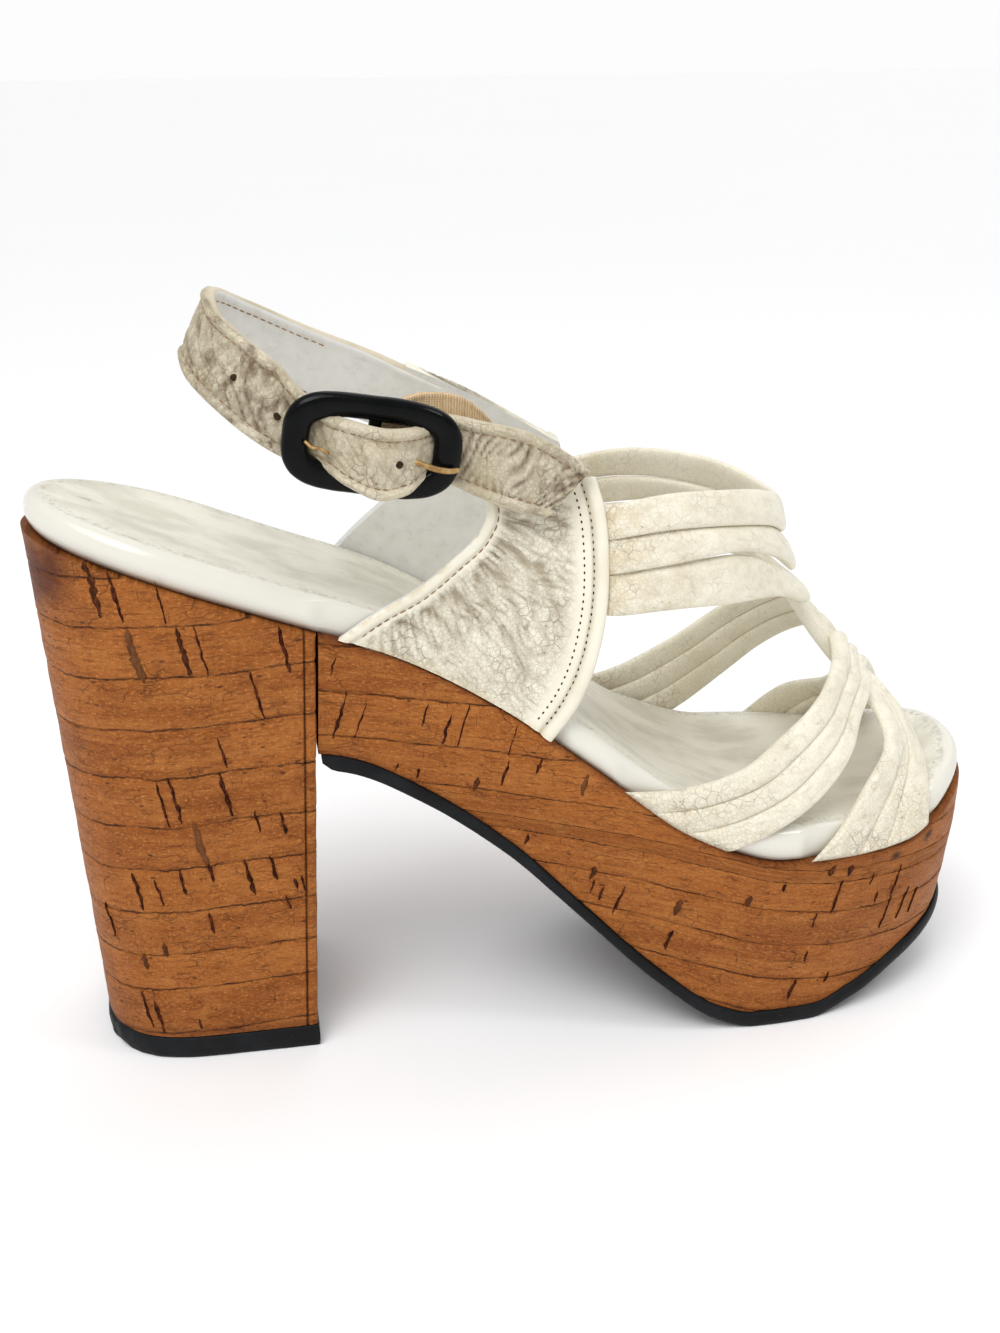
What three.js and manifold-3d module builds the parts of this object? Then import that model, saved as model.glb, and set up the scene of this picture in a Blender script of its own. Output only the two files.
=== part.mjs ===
// Right platform sandal with a block heel, a crossed-strap upper and a buckled sling strap.
// Units are millimetres: +X points to the toe, +Y to the medial side, +Z up, the floor is z = 0.
import * as THREE from "three";
import { mergeGeometries, mergeVertices } from "three/addons/utils/BufferGeometryUtils.js";
import Module from "manifold-3d";

const wasm = await Module();
wasm.setup();

// ---- Driving dimensions ----
const soleLength = 240.6;
const heelRadius = 42;        // length of the rounded heel end in plan
const toeStart = 170;         // where the toe starts to round off
const heelCurve = 2.1;        // superellipse powers of the two plan ends
const toeCurve = 2.2;
const gap = 0.3;              // clearance between pieces that touch
const outsoleThickness = 4;
const outsoleInset = 3.2;
const insoleThickness = 8.4;
const insoleInset = 3;
const insoleRound = 2.6;
const upperThickness = 2.4;
const strapThickness = 2.6;
const elasticThickness = 1.6;
const topPieceThickness = 6;
const heelBase = { back: 7.6, breast: 61.7, width: 54.3, power: 2.6, rounded: 0.55 };
const heelSeamTop = 66.6;     // where the heel's front face meets the insole line

// Half widths of the sole in plan before its ends are rounded off.
const planRows = [
  { x: 0, lateral: 30, medial: 30 },
  { x: 40, lateral: 30, medial: 29.8 },
  { x: 60, lateral: 29.6, medial: 29 },
  { x: 80, lateral: 30, medial: 27.4 },
  { x: 100, lateral: 31.5, medial: 25.6 },
  { x: 120, lateral: 34.4, medial: 26.6 },
  { x: 140, lateral: 38.7, medial: 31.6 },
  { x: 160, lateral: 42.3, medial: 38.6 },
  { x: 180, lateral: 43, medial: 42 },
  { x: 241, lateral: 43.5, medial: 43.5 },
];

// Top of the cork (the feather line) and the underside of the rubber, in side view.
const featherRows = [
  { x: 0, z: 136.8 }, { x: 29, z: 127.1 }, { x: 60, z: 115.2 }, { x: 84, z: 106.3 },
  { x: 108, z: 92.8 }, { x: 132, z: 75.1 }, { x: 156, z: 57.3 }, { x: 180, z: 48.2 },
  { x: 212, z: 47.4 }, { x: 241, z: 57.9 },
];
const undersideRows = [
  { x: 66, z: 77.6 }, { x: 74, z: 75.6 }, { x: 91, z: 66.3 }, { x: 111, z: 51.1 },
  { x: 130, z: 32 }, { x: 149, z: 13.8 }, { x: 165, z: 2.6 }, { x: 174, z: 0 },
  { x: 190, z: 0 }, { x: 202, z: 3.6 }, { x: 221, z: 11.6 }, { x: 241, z: 17.8 },
];
// Ridge of the foot form, in side view.
const ridgeRows = [
  { x: 60, z: 196 }, { x: 100, z: 184 }, { x: 131, z: 172 }, { x: 150, z: 163 },
  { x: 165, z: 152 }, { x: 180, z: 139 },
];

// ---- Curves ----
function monotone(rows, key) {
  const slopes = rows.slice(1).map((b, i) => (b[key] - rows[i][key]) / (b.x - rows[i].x));
  const tangents = rows.map((row, i) => {
    if (i === 0) return slopes[0];
    if (i === rows.length - 1) return slopes[i - 1];
    const product = slopes[i - 1] * slopes[i];
    return product <= 0 ? 0 : (2 * product) / (slopes[i - 1] + slopes[i]);
  });
  return (x) => {
    let i = 0;
    while (i < rows.length - 2 && x > rows[i + 1].x) i += 1;
    const width = rows[i + 1].x - rows[i].x;
    const t = (x - rows[i].x) / width;
    const t2 = t * t;
    const t3 = t2 * t;
    return (2 * t3 - 3 * t2 + 1) * rows[i][key] + (t3 - 2 * t2 + t) * width * tangents[i]
      + (3 * t2 - 2 * t3) * rows[i + 1][key] + (t3 - t2) * width * tangents[i + 1];
  };
}

const LATERAL = -1;
const MEDIAL = 1;
const plan = { [LATERAL]: monotone(planRows, "lateral"), [MEDIAL]: monotone(planRows, "medial") };
const feather = monotone(featherRows, "z");
const underside = monotone(undersideRows, "z");
const ridge = monotone(ridgeRows, "z");

function roundEnd(distance, power) {
  if (distance <= 0) return 1;
  return Math.pow(1 - Math.pow(Math.min(1, distance), power), 1 / power);
}

function halfWidth(x, side) {
  const heel = roundEnd((heelRadius - x) / heelRadius, heelCurve);
  const toe = roundEnd((x - toeStart) / (soleLength - toeStart), toeCurve);
  return plan[side](x) * heel * toe;
}

// A point of the sole's outline, moved inwards by inset along the outline's normal.
function outline(x, side, inset) {
  const step = 0.05;
  const a = Math.max(0, x - step);
  const b = Math.min(soleLength, x + step);
  const slope = halfWidth(b, side) - halfWidth(a, side);
  const length = Math.hypot(slope, b - a);
  const y = halfWidth(x, side) - (inset * (b - a)) / length;
  return { x: x + (inset * slope) / length, y: side * Math.max(0.4, y) };
}

// Stations from x0 to the toe (and from the heel's back when x0 is 0), closer where the plan rounds.
function stations(x0, count) {
  const list = [];
  for (let i = 0; i <= count; i += 1) {
    const t = i / count;
    const s = x0 === 0 ? (1 - Math.cos(Math.PI * t)) / 2 : Math.sin((Math.PI * t) / 2);
    list.push(x0 + (soleLength - x0) * s);
  }
  return list;
}

// ---- Mesh helpers ----
// A closed solid through rings of points. Every ring has the same even number of points, and point j
// faces point count - 1 - j across the ring, so that the two end rings close as strips.
function loft(rings) {
  const count = rings[0].length;
  const vertices = rings.flat();
  const faces = [];
  for (let i = 0; i < rings.length - 1; i += 1) {
    for (let j = 0; j < count; j += 1) {
      const a = i * count + j;
      const b = i * count + ((j + 1) % count);
      faces.push([a, b, b + count], [a, b + count, a + count]);
    }
  }
  const last = (rings.length - 1) * count;
  for (let j = 0; j < count / 2 - 1; j += 1) {
    const k = count - 1 - j;
    faces.push([j, k, j + 1], [j + 1, k, k - 1]);
    faces.push([last + j, last + j + 1, last + k], [last + j + 1, last + k - 1, last + k]);
  }
  return meshFrom(vertices, faces);
}

function signedVolume(vertices, faces) {
  let volume = 0;
  for (const [a, b, c] of faces) {
    volume += vertices[a].dot(new THREE.Vector3().crossVectors(vertices[b], vertices[c]));
  }
  return volume;
}

function meshFrom(vertices, faces) {
  const turned = signedVolume(vertices, faces) < 0;
  const geometry = new THREE.BufferGeometry();
  const positions = vertices.flatMap((v) => v.toArray());
  geometry.setAttribute("position", new THREE.Float32BufferAttribute(positions, 3));
  geometry.setIndex(faces.flatMap(([a, b, c]) => (turned ? [a, c, b] : [a, b, c])));
  return geometry;
}

function toSolid(geometry) {
  const bare = geometry.clone();
  bare.deleteAttribute("normal");
  bare.deleteAttribute("uv");
  const merged = mergeVertices(bare, 1e-5);
  return new wasm.Manifold(new wasm.Mesh({
    numProp: 3,
    vertProperties: new Float32Array(merged.attributes.position.array),
    triVerts: new Uint32Array(merged.index.array),
  }));
}

function fromSolid(solid) {
  const mesh = solid.getMesh();
  const positions = new Float32Array(mesh.vertProperties);
  const geometry = new THREE.BufferGeometry();
  geometry.setAttribute("position", new THREE.BufferAttribute(positions, 3));
  geometry.setIndex(new THREE.BufferAttribute(new Uint32Array(mesh.triVerts), 1));
  return geometry;
}

function union(geometries) {
  return geometries.slice(1).reduce((sum, geometry) => sum.add(toSolid(geometry)), toSolid(geometries[0]));
}

const V = (x, y, z) => new THREE.Vector3(x, y, z);
const footCentre = V(150, 0, 60);
const ankleCentre = V(82, -8, 150);

// ---- Sole ----
// The front face of the heel, in side view; the platform and the outsole end on it.
function heelFace(z) {
  const rise = feather(heelSeamTop) - topPieceThickness;
  return heelBase.breast + ((heelSeamTop - heelBase.breast) * (z - topPieceThickness)) / rise;
}

function soleLoft(x0, count, levels, rear = (z, x) => x) {
  const rings = stations(x0, count).map((x, i) => {
    const side = (s) => levels.map(({ inset, height }) => {
      const p = outline(x, s, inset);
      const z = height(p.x);
      return V(i === 0 ? rear(z, p.x) : p.x, p.y, z);
    });
    return [...side(LATERAL), ...side(MEDIAL).reverse()];
  });
  return loft(rings);
}

function platform() {
  const base = (x) => underside(x) + outsoleThickness + gap;
  const waist = 0.62;
  return soleLoft(heelSeamTop + gap, 40, [
    { inset: 0, height: feather },
    { inset: 0.4, height: (x) => feather(x) * waist + base(x) * (1 - waist) },
    { inset: outsoleInset, height: base },
  ], (z) => heelFace(z) + gap);
}

function outsole() {
  return soleLoft(heelSeamTop + gap, 44, [
    { inset: outsoleInset, height: (x) => underside(x) + outsoleThickness },
    { inset: outsoleInset, height: underside },
  ], (z) => heelFace(z) + gap);
}

// The padded board; spread widens it all round, for the room that the straps leave to it.
function insole(spread = 0) {
  const base = (x) => feather(x) + gap - spread;
  const top = (x) => feather(x) + gap + insoleThickness + spread;
  const side = insoleInset - spread;
  return soleLoft(0, 56, [
    { inset: side, height: base },
    { inset: side, height: (x) => top(x) - insoleRound },
    { inset: side + insoleRound * 0.3, height: (x) => top(x) - insoleRound * 0.3 },
    { inset: side + insoleRound, height: top },
  ]);
}

// Everything just above the cork's edge and below it, wider than the sole: the straps end on it.
function belowFeather() {
  const overhang = 8;
  const depth = 30;
  return soleLoft(60, 40, [
    { inset: -overhang, height: (x) => feather(x) + gap },
    { inset: -overhang, height: (x) => feather(x) - depth },
  ]);
}

// ---- Heel ----
// Outline fractions run from the back (0) to the breast (1).
// share runs from the heel's base (0) to the insole line (1); a ring is flat where it has a height.
function heelRing(share, height) {
  const steps = 12;
  const half = (side) => {
    const points = [];
    for (let i = 0; i <= steps; i += 1) {
      const u = 1 - Math.cos((Math.PI * i) / (2 * steps));
      const arc = Math.min(1, u / heelBase.rounded);
      const width = heelBase.width * Math.max(0.04, roundEnd(1 - arc, heelBase.power));
      const lowX = heelBase.back + (heelBase.breast - heelBase.back) * u;
      const low = V(lowX, (side * width) / 2, topPieceThickness + gap);
      const highX = heelSeamTop * u;
      const high = V(highX, side * Math.max(0.9, halfWidth(highX, side)), feather(highX) - gap);
      const point = low.lerp(high, share);
      points.push(height === undefined ? point : point.setZ(height));
    }
    return points;
  };
  return [...half(LATERAL).reverse(), ...half(MEDIAL)];
}

function heelBlock() {
  return loft([0, 0.5, 1].map((share) => heelRing(share)));
}

function heelTopPiece() {
  const flare = topPieceThickness / feather(heelBase.breast / 2);
  return loft([heelRing(0, 0), heelRing(flare, topPieceThickness)]);
}

// ---- Foot form and upper ----
// Point on the foot form at station x and a rise above the feather line.
function lastPoint(x, rise, side) {
  const height = ridge(x) - feather(x);
  const share = Math.min(0.98, Math.max(0, rise) / height);
  const y = (halfWidth(x, side) - 0.2) * Math.sqrt(1 - Math.pow(share, 1.7));
  return V(x, side * y, feather(x) + gap + rise);
}

// A patch with a constant wall, from a grid of points on its outer face; inside is a point that
// its inner face looks at.
function patch(grid, thickness, inside) {
  const rows = grid.length - 1;
  const columns = grid[0].length - 1;
  const inner = grid.map((row, i) => row.map((point, j) => {
    const along = V(0, 0, 0).subVectors(grid[Math.min(rows, i + 1)][j], grid[Math.max(0, i - 1)][j]);
    const across = V(0, 0, 0).subVectors(row[Math.min(columns, j + 1)], row[Math.max(0, j - 1)]);
    const normal = V(0, 0, 0).crossVectors(along, across).normalize();
    if (normal.dot(V(0, 0, 0).subVectors(point, inside)) > 0) normal.negate();
    const onFeather = Math.abs(point.z - feather(point.x) - gap) < 0.1;
    if (i === 0 && onFeather) normal.setZ(0).normalize();
    return point.clone().addScaledVector(normal, thickness);
  }));
  return loft(grid.map((row, i) => [...row, ...inner[i].slice().reverse()]));
}

// Quarter: rows go up from the feather line, each from the rear edge to the front edge.
const lateralQuarterRows = [
  { rear: 71.4, rearRise: 0, front: 121, frontRise: 0 },
  { rear: 79.2, rearRise: 8, front: 127, frontRise: 13 },
  { rear: 89.4, rearRise: 18, front: 131.5, frontRise: 26.5 },
  { rear: 98, rearRise: 29, front: 134.6, frontRise: 42 },
  { rear: 104.8, rearRise: 39, front: 135.6, frontRise: 55.6 },
  { rear: 107.2, rearRise: 45.7, front: 135.2, frontRise: 65 },
  { rear: 106, rearRise: 50.5, front: 133.4, frontRise: 71 },
];
const medialQuarterRows = [
  { rear: 70, rearRise: 0, front: 121, frontRise: 0 },
  { rear: 79, rearRise: 13, front: 127, frontRise: 13 },
  { rear: 87, rearRise: 24, front: 131.5, frontRise: 26.5 },
  { rear: 93, rearRise: 33, front: 134.6, frontRise: 42 },
  { rear: 96, rearRise: 42, front: 135.6, frontRise: 55.6 },
  { rear: 94.6, rearRise: 49, front: 135.2, frontRise: 65 },
  { rear: 94, rearRise: 65.8, front: 133.4, frontRise: 71 },
];

function quarter(rows, side) {
  const columns = 10;
  const grid = rows.map((row) => {
    const points = [];
    for (let j = 0; j <= columns; j += 1) {
      const t = j / columns;
      const x = row.rear + (row.front - row.rear) * t;
      points.push(lastPoint(x, row.rearRise + (row.frontRise - row.rearRise) * t, side));
    }
    return points;
  });
  return patch(grid, upperThickness, footCentre);
}

// Straps: each row gives one point on either edge of the strap's outer face.
const instepRows = [
  { ax: 130, ay: -28.4, az: 139.6, bx: 130, by: -34.4, bz: 114.6 },
  { ax: 135, ay: -27.6, az: 139.6, bx: 135, by: -34, bz: 114.4 },
  { ax: 152, ay: -26, az: 141, bx: 150.5, by: -33, bz: 114.7 },
  { ax: 166, ay: -22, az: 140, bx: 165, by: -29.4, bz: 113.7 },
  { ax: 177, ay: -14.5, az: 137.5, bx: 181, by: -19.5, bz: 110.6 },
  { ax: 184, ay: -6, az: 134.4, bx: 192.4, by: -8.5, bz: 104 },
];
const rearVampRows = [
  { ax: 138, ay: -37.9, az: 69.9, bx: 163.8, by: -42.2, bz: 53.4 },
  { ax: 152.5, ay: -38.5, az: 69.8, bx: 174.4, by: -41, bz: 56.6 },
  { ax: 168.8, ay: -36.5, az: 72.8, bx: 184.9, by: -39, bz: 61.6 },
  { ax: 180.6, ay: -33, az: 79.8, bx: 193.1, by: -35.5, bz: 67.3 },
  { ax: 188.7, ay: -29, az: 84.6, bx: 199.2, by: -30, bz: 72.4 },
  { ax: 194.6, ay: -23, az: 88.1, bx: 203, by: -24, bz: 77.2 },
  { ax: 200, ay: -13, az: 91.2, bx: 209, by: -14, bz: 80.6 },
  { ax: 203.4, ay: 0, az: 92.6, bx: 212.6, by: 0, bz: 81.6 },
];
const medialRearVampRows = [
  { ax: 138, ay: 36.6, az: 69.9, bx: 163.8, by: 38.8, bz: 53.4 },
  { ax: 154, ay: 38, az: 72.6, bx: 176, by: 40, bz: 59.4 },
  { ax: 170, ay: 36, az: 81, bx: 187, by: 37.4, bz: 69 },
  { ax: 182, ay: 29.6, az: 92, bx: 196, by: 31, bz: 79.6 },
  { ax: 190, ay: 20, az: 100.6, bx: 202.6, by: 21.4, bz: 87.6 },
  { ax: 191.8, ay: 9, az: 105.4, bx: 206.4, by: 11, bz: 91.4 },
  { ax: 199.6, ay: -1, az: 96.4, bx: 210, by: 1.6, bz: 87 },
  { ax: 204.4, ay: -9, az: 87.4, bx: 213, by: -6, bz: 81 },
];
const frontVampRows = [
  { ax: 205, ay: 3, az: 87.6, bx: 214, by: 4, bz: 82 },
  { ax: 208.6, ay: -8, az: 83, bx: 216.6, by: -2, bz: 80.4 },
  { ax: 212.4, ay: -17, az: 75.6, bx: 221.5, by: -7, bz: 72.8 },
  { ax: 211.6, ay: -24, az: 70.4, bx: 224.4, by: -12.5, bz: 64.6 },
  { ax: 203.4, ay: -33.5, az: 65.2, bx: 224, by: -20.5, bz: 57.4 },
  { ax: 193, ay: -39.8, az: 54, bx: 221.6, by: -29, bz: 51 },
  { ax: 186.6, ay: -41.6, az: 47.9, bx: 217.6, by: -34.2, bz: 48.7 },
];

function mirrored(rows) {
  const flip = (x, y) => (-y * halfWidth(x, MEDIAL)) / halfWidth(x, LATERAL);
  return rows.map((row) => ({ ...row, ay: flip(row.ax, row.ay), by: flip(row.bx, row.by) }));
}

// A strap's outer face from its two edge curves, crowned in the middle by bulge.
function strapGrid(rows, steps, bulge, centre) {
  const a = new THREE.CatmullRomCurve3(rows.map((row) => V(row.ax, row.ay, row.az)), false, "centripetal");
  const b = new THREE.CatmullRomCurve3(rows.map((row) => V(row.bx, row.by, row.bz)), false, "centripetal");
  const columns = 4;
  const grid = [];
  for (let i = 0; i <= steps; i += 1) {
    const p = a.getPoint(i / steps);
    const q = b.getPoint(i / steps);
    const along = V(0, 0, 0).addVectors(a.getTangent(i / steps), b.getTangent(i / steps));
    const normal = V(0, 0, 0).crossVectors(along, V(0, 0, 0).subVectors(q, p)).normalize();
    if (normal.dot(V(0, 0, 0).subVectors(p, centre)) < 0) normal.negate();
    const row = [];
    for (let j = 0; j <= columns; j += 1) {
      const t = j / columns;
      row.push(p.clone().lerp(q, t).addScaledVector(normal, bulge * Math.sin(Math.PI * t)));
    }
    grid.push(row);
  }
  return grid;
}

function upperStrap(rows, steps) {
  return patch(strapGrid(rows, steps, 1, footCentre), upperThickness, footCentre);
}

function upper() {
  const instep = [...instepRows, ...mirrored(instepRows).reverse()];
  const straps = union([
    quarter(lateralQuarterRows, LATERAL),
    quarter(medialQuarterRows, MEDIAL),
    upperStrap(instep, 28),
    upperStrap(rearVampRows, 18),
    upperStrap(medialRearVampRows, 18),
    upperStrap(frontVampRows, 16),
    upperStrap(mirrored(frontVampRows), 16),
  ]);
  return fromSolid(straps.subtract(toSolid(belowFeather())).subtract(toSolid(insole(gap))));
}

// ---- Sling strap: from the medial quarter, around the heel and through the buckle ----
const slingRows = [
  { ax: 93.4, ay: 15.5, az: 166.6, bx: 93.9, by: 21.6, bz: 148.6 },
  { ax: 84, ay: 16.6, az: 171, bx: 84, by: 21.4, bz: 152.6 },
  { ax: 71, ay: 14.6, az: 176.6, bx: 69, by: 18.6, bz: 159 },
  { ax: 56, ay: 7.5, az: 184.4, bx: 52, by: 10, bz: 167.4 },
  { ax: 47.4, ay: -1.5, az: 189, bx: 40.6, by: -2, bz: 174.6 },
  { ax: 48.4, ay: -12, az: 185, bx: 41.4, by: -14, bz: 170.6 },
  { ax: 54.6, ay: -19.6, az: 179.8, bx: 48.4, by: -22, bz: 164 },
  { ax: 62, ay: -24.6, az: 173.6, bx: 57.4, by: -26, bz: 157 },
  { ax: 66, ay: -27.6, az: 168.6, bx: 64, by: -28.4, bz: 153.6 },
  { ax: 70.4, ay: -31.4, az: 165, bx: 69.2, by: -31.8, bz: 153 },
  { ax: 76, ay: -36.4, az: 163.6, bx: 74.8, by: -37.2, bz: 149.6 },
  { ax: 83, ay: -38.2, az: 161.8, bx: 81.6, by: -38.8, bz: 146.6 },
  { ax: 89, ay: -36.4, az: 161.2, bx: 87.8, by: -37.2, bz: 147 },
  { ax: 93.6, ay: -31.8, az: 161, bx: 92.8, by: -32, bz: 149 },
  { ax: 98, ay: -28, az: 162, bx: 97.2, by: -28.2, bz: 147.4 },
  { ax: 106, ay: -28.6, az: 160.4, bx: 104, by: -30.4, bz: 144.6 },
  { ax: 118, ay: -29, az: 157, bx: 113, by: -31.6, bz: 141 },
  { ax: 131.6, ay: -28.6, az: 148.4, bx: 120.4, by: -31.8, bz: 138.6 },
];
// Woven elastic behind the strap, from the buckle's centre bar to the inside of the lateral quarter.
const elasticRows = [
  { ax: 83.4, ay: -30.4, az: 165, bx: 82.6, by: -30.8, bz: 151.4 },
  { ax: 89, ay: -27.8, az: 166.6, bx: 88.4, by: -28.2, bz: 151.2 },
  { ax: 95, ay: -24.4, az: 167, bx: 94.4, by: -24.8, bz: 150.6 },
  { ax: 104, ay: -22.6, az: 164.6, bx: 103.6, by: -22.8, bz: 148 },
  { ax: 115, ay: -21.4, az: 157.6, bx: 113, by: -21.6, bz: 142.6 },
];

// ---- Buckle ----
const buckle = { centre: V(81, -31.6, 157.2), width: 40, height: 25, wire: 5, depth: 4, pitch: 0.18 };
const centreBarRadius = 1.5;
const prong = { from: V(82, -34.6, 155.6), to: V(98.8, -35, 151.2), radius: 0.9 };

class RoundedRectangle extends THREE.Curve {
  getPoint(t) {
    const angle = 2 * Math.PI * t;
    const power = 0.5;
    const bend = (value) => Math.sign(value) * Math.pow(Math.abs(value), power);
    const halfX = (buckle.width - buckle.wire) / 2;
    const halfZ = (buckle.height - buckle.wire) / 2;
    return V(halfX * bend(Math.cos(angle)), 0, halfZ * bend(Math.sin(angle)));
  }
}

// Round or flattened section swept round a closed loop.
function frameLoop(curve, steps, sides, radial, depth) {
  const rings = [];
  for (let i = 0; i < steps; i += 1) {
    const t = (i + 0.5) / steps;
    const point = curve.getPoint(t);
    const outward = point.clone().normalize();
    const ring = [];
    for (let j = 0; j < sides; j += 1) {
      const angle = (2 * Math.PI * j) / sides;
      const across = V(0, depth * Math.sin(angle), 0);
      ring.push(point.clone().addScaledVector(outward, radial * Math.cos(angle)).add(across));
    }
    rings.push(ring);
  }
  const vertices = rings.flat();
  const faces = [];
  for (let i = 0; i < steps; i += 1) {
    for (let j = 0; j < sides; j += 1) {
      const a = i * sides + j;
      const b = i * sides + ((j + 1) % sides);
      const c = ((i + 1) % steps) * sides + ((j + 1) % sides);
      const d = ((i + 1) % steps) * sides + j;
      faces.push([a, b, c], [a, c, d]);
    }
  }
  return meshFrom(vertices, faces);
}

function bar(from, to, radius, sides) {
  const path = new THREE.LineCurve3(from, to);
  const circle = new THREE.Path().absarc(0, 0, radius, 0, 2 * Math.PI);
  const section = new THREE.Shape(circle.getPoints(sides / 2));
  return new THREE.ExtrudeGeometry(section, { steps: 1, bevelEnabled: false, extrudePath: path });
}

function placeBuckle(geometry) {
  geometry.rotateY(buckle.pitch);
  geometry.translate(buckle.centre.x, buckle.centre.y, buckle.centre.z);
  return geometry;
}

function buckleFrame() {
  const loop = frameLoop(new RoundedRectangle(), 40, 10, buckle.wire / 2, buckle.depth / 2);
  const reach = buckle.height / 2 - buckle.wire / 2;
  const centreBar = bar(V(0, 0, -reach), V(0, 0, reach), centreBarRadius, 10);
  return placeBuckle(fromSolid(union([loop, centreBar])));
}

function elasticTab() {
  return patch(strapGrid(elasticRows, 10, 0.2, ankleCentre), elasticThickness, ankleCentre);
}

function slingStrap() {
  const grid = strapGrid(slingRows, 64, 0.6, ankleCentre);
  const leather = patch(grid, strapThickness, ankleCentre);
  const hole = bar(prong.from, prong.to, prong.radius + gap, 10);
  return fromSolid(toSolid(leather).subtract(toSolid(hole)));
}

function material(color, roughness, metalness = 0) {
  return new THREE.MeshStandardMaterial({ color, roughness, metalness });
}
const cork = () => material(0xc48048, 0.7);
const rubber = () => material(0x232628, 0.75);
const leather = () => material(0xece6d6, 0.45);

const group = new THREE.Group();
function add(name, geometry, surface) {
  const mesh = new THREE.Mesh(geometry, surface);
  mesh.name = name;
  group.add(mesh);
}

add("outsole", outsole(), rubber());
add("platform", platform(), cork());
add("heel_block", heelBlock(), cork());
add("heel_top_piece", heelTopPiece(), rubber());
add("insole", insole(), material(0xdeddd2, 0.5));
add("upper", upper(), leather());
add("back_strap", slingStrap(), leather());
add("buckle_frame", buckleFrame(), material(0x0f0f12, 0.2));
add("buckle_prong", bar(prong.from, prong.to, prong.radius, 10), material(0xa98a5c, 0.4, 0.6));
add("buckle_elastic", elasticTab(), material(0xcda573, 0.9));

const box = new THREE.Box3().setFromObject(group);
const centre = box.getCenter(V(0, 0, 0));
group.position.set(-centre.x, -centre.y, -box.min.z);

export default group;
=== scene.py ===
"""Right platform sandal: cork platform and block heel, crossed pleated vamp straps, sling strap."""
import math

import bmesh
import bpy
import numpy as np
from mathutils import Matrix, Vector


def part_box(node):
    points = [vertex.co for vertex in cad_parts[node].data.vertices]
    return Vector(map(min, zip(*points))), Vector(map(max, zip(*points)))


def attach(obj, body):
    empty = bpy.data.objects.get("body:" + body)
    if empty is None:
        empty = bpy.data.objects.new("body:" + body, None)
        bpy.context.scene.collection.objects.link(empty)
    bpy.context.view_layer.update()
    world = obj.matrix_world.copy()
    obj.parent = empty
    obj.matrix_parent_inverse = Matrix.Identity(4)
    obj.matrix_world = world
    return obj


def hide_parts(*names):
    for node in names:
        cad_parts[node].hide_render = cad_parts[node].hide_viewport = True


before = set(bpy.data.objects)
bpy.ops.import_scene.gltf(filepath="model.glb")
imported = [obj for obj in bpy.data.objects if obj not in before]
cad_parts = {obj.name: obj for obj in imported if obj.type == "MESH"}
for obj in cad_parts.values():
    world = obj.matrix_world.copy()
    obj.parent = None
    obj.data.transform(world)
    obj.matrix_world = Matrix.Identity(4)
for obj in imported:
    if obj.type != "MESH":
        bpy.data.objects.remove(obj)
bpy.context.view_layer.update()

# All shapes are worked out in millimetres from the back of the insole, on the floor, with +X to
# the toe, +Y to the medial side and +Z up, and moved into the frame when their mesh is made.
MM = 0.001
SOLE_LENGTH = 240.6
HEEL_RADIUS = 42.0
TOE_START = 170.0
HEEL_CURVE = 2.1
TOE_CURVE = 2.2
OUTSOLE_THICKNESS = 4.0
OUTSOLE_INSET = 3.2
TOP_PIECE = 6.0
HEEL_SEAM_TOP = 66.6
HEEL_BACK, HEEL_BREAST, HEEL_WIDTH, HEEL_POWER = 7.6, 61.7, 54.3, 2.6
HEEL_BASE = TOP_PIECE + 0.3
HEEL_CENTRE = (34, 0, 60)
PLATFORM_CENTRE = (150, 0, 40)
LATERAL, MEDIAL = -1, 1
CAMERA_TURN = (-9.594, 21.037, -0.671)  # azimuth, elevation and roll in degrees
CAMERA_PLACE = (-0.0684, -0.3696, 0.2348)  # metres
CAMERA_LENS = 42.0

PLAN = np.array([  # x, lateral half width, medial half width
    (0, 30, 30), (40, 30, 29.8), (60, 29.6, 29), (80, 30, 27.4), (100, 31.5, 25.6),
    (120, 34.4, 26.6), (140, 38.7, 31.6), (160, 42.3, 38.6), (180, 43, 42), (241, 43.5, 43.5)])
FEATHER = np.array([  # x, z of the cork's top edge
    (0, 136.8), (29, 127.1), (60, 115.2), (84, 106.3), (108, 92.8), (132, 75.1), (156, 57.3),
    (180, 48.2), (212, 47.4), (241, 57.9)])
UNDERSIDE = np.array([  # x, z of the rubber's underside
    (66, 77.6), (74, 75.6), (91, 66.3), (111, 51.1), (130, 32), (149, 13.8), (165, 2.6),
    (174, 0), (190, 0), (202, 3.6), (221, 11.6), (241, 17.8)])
RIDGE = np.array([(60, 196), (100, 184), (131, 172), (150, 163), (165, 152), (180, 139)])

heel_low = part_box("heel_block")[0]
platform_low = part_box("platform")[0]


# ---------------------------------------------------------------- curves
def monotone(rows, column=1):
    """A smooth curve through rows that never overshoots them."""
    xs, ys = rows[:, 0].astype(float), rows[:, column].astype(float)
    slope = np.diff(ys) / np.diff(xs)
    inner = np.where(slope[:-1] * slope[1:] > 0,
                     2 * slope[:-1] * slope[1:] / (slope[:-1] + slope[1:] + 1e-12), 0.0)
    tangent = np.concatenate([[slope[0]], inner, [slope[-1]]])

    def curve(x):
        x = np.asarray(x, float)
        i = np.clip(np.searchsorted(xs, x) - 1, 0, len(xs) - 2)
        width = xs[i + 1] - xs[i]
        t = (x - xs[i]) / width
        t2, t3 = t * t, t * t * t
        return ((2 * t3 - 3 * t2 + 1) * ys[i] + (t3 - 2 * t2 + t) * width * tangent[i]
                + (3 * t2 - 2 * t3) * ys[i + 1] + (t3 - t2) * width * tangent[i + 1])
    return curve


feather = monotone(FEATHER)
underside = monotone(UNDERSIDE)
ridge = monotone(RIDGE)
plan = {LATERAL: monotone(PLAN, 1), MEDIAL: monotone(PLAN, 2)}


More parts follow.
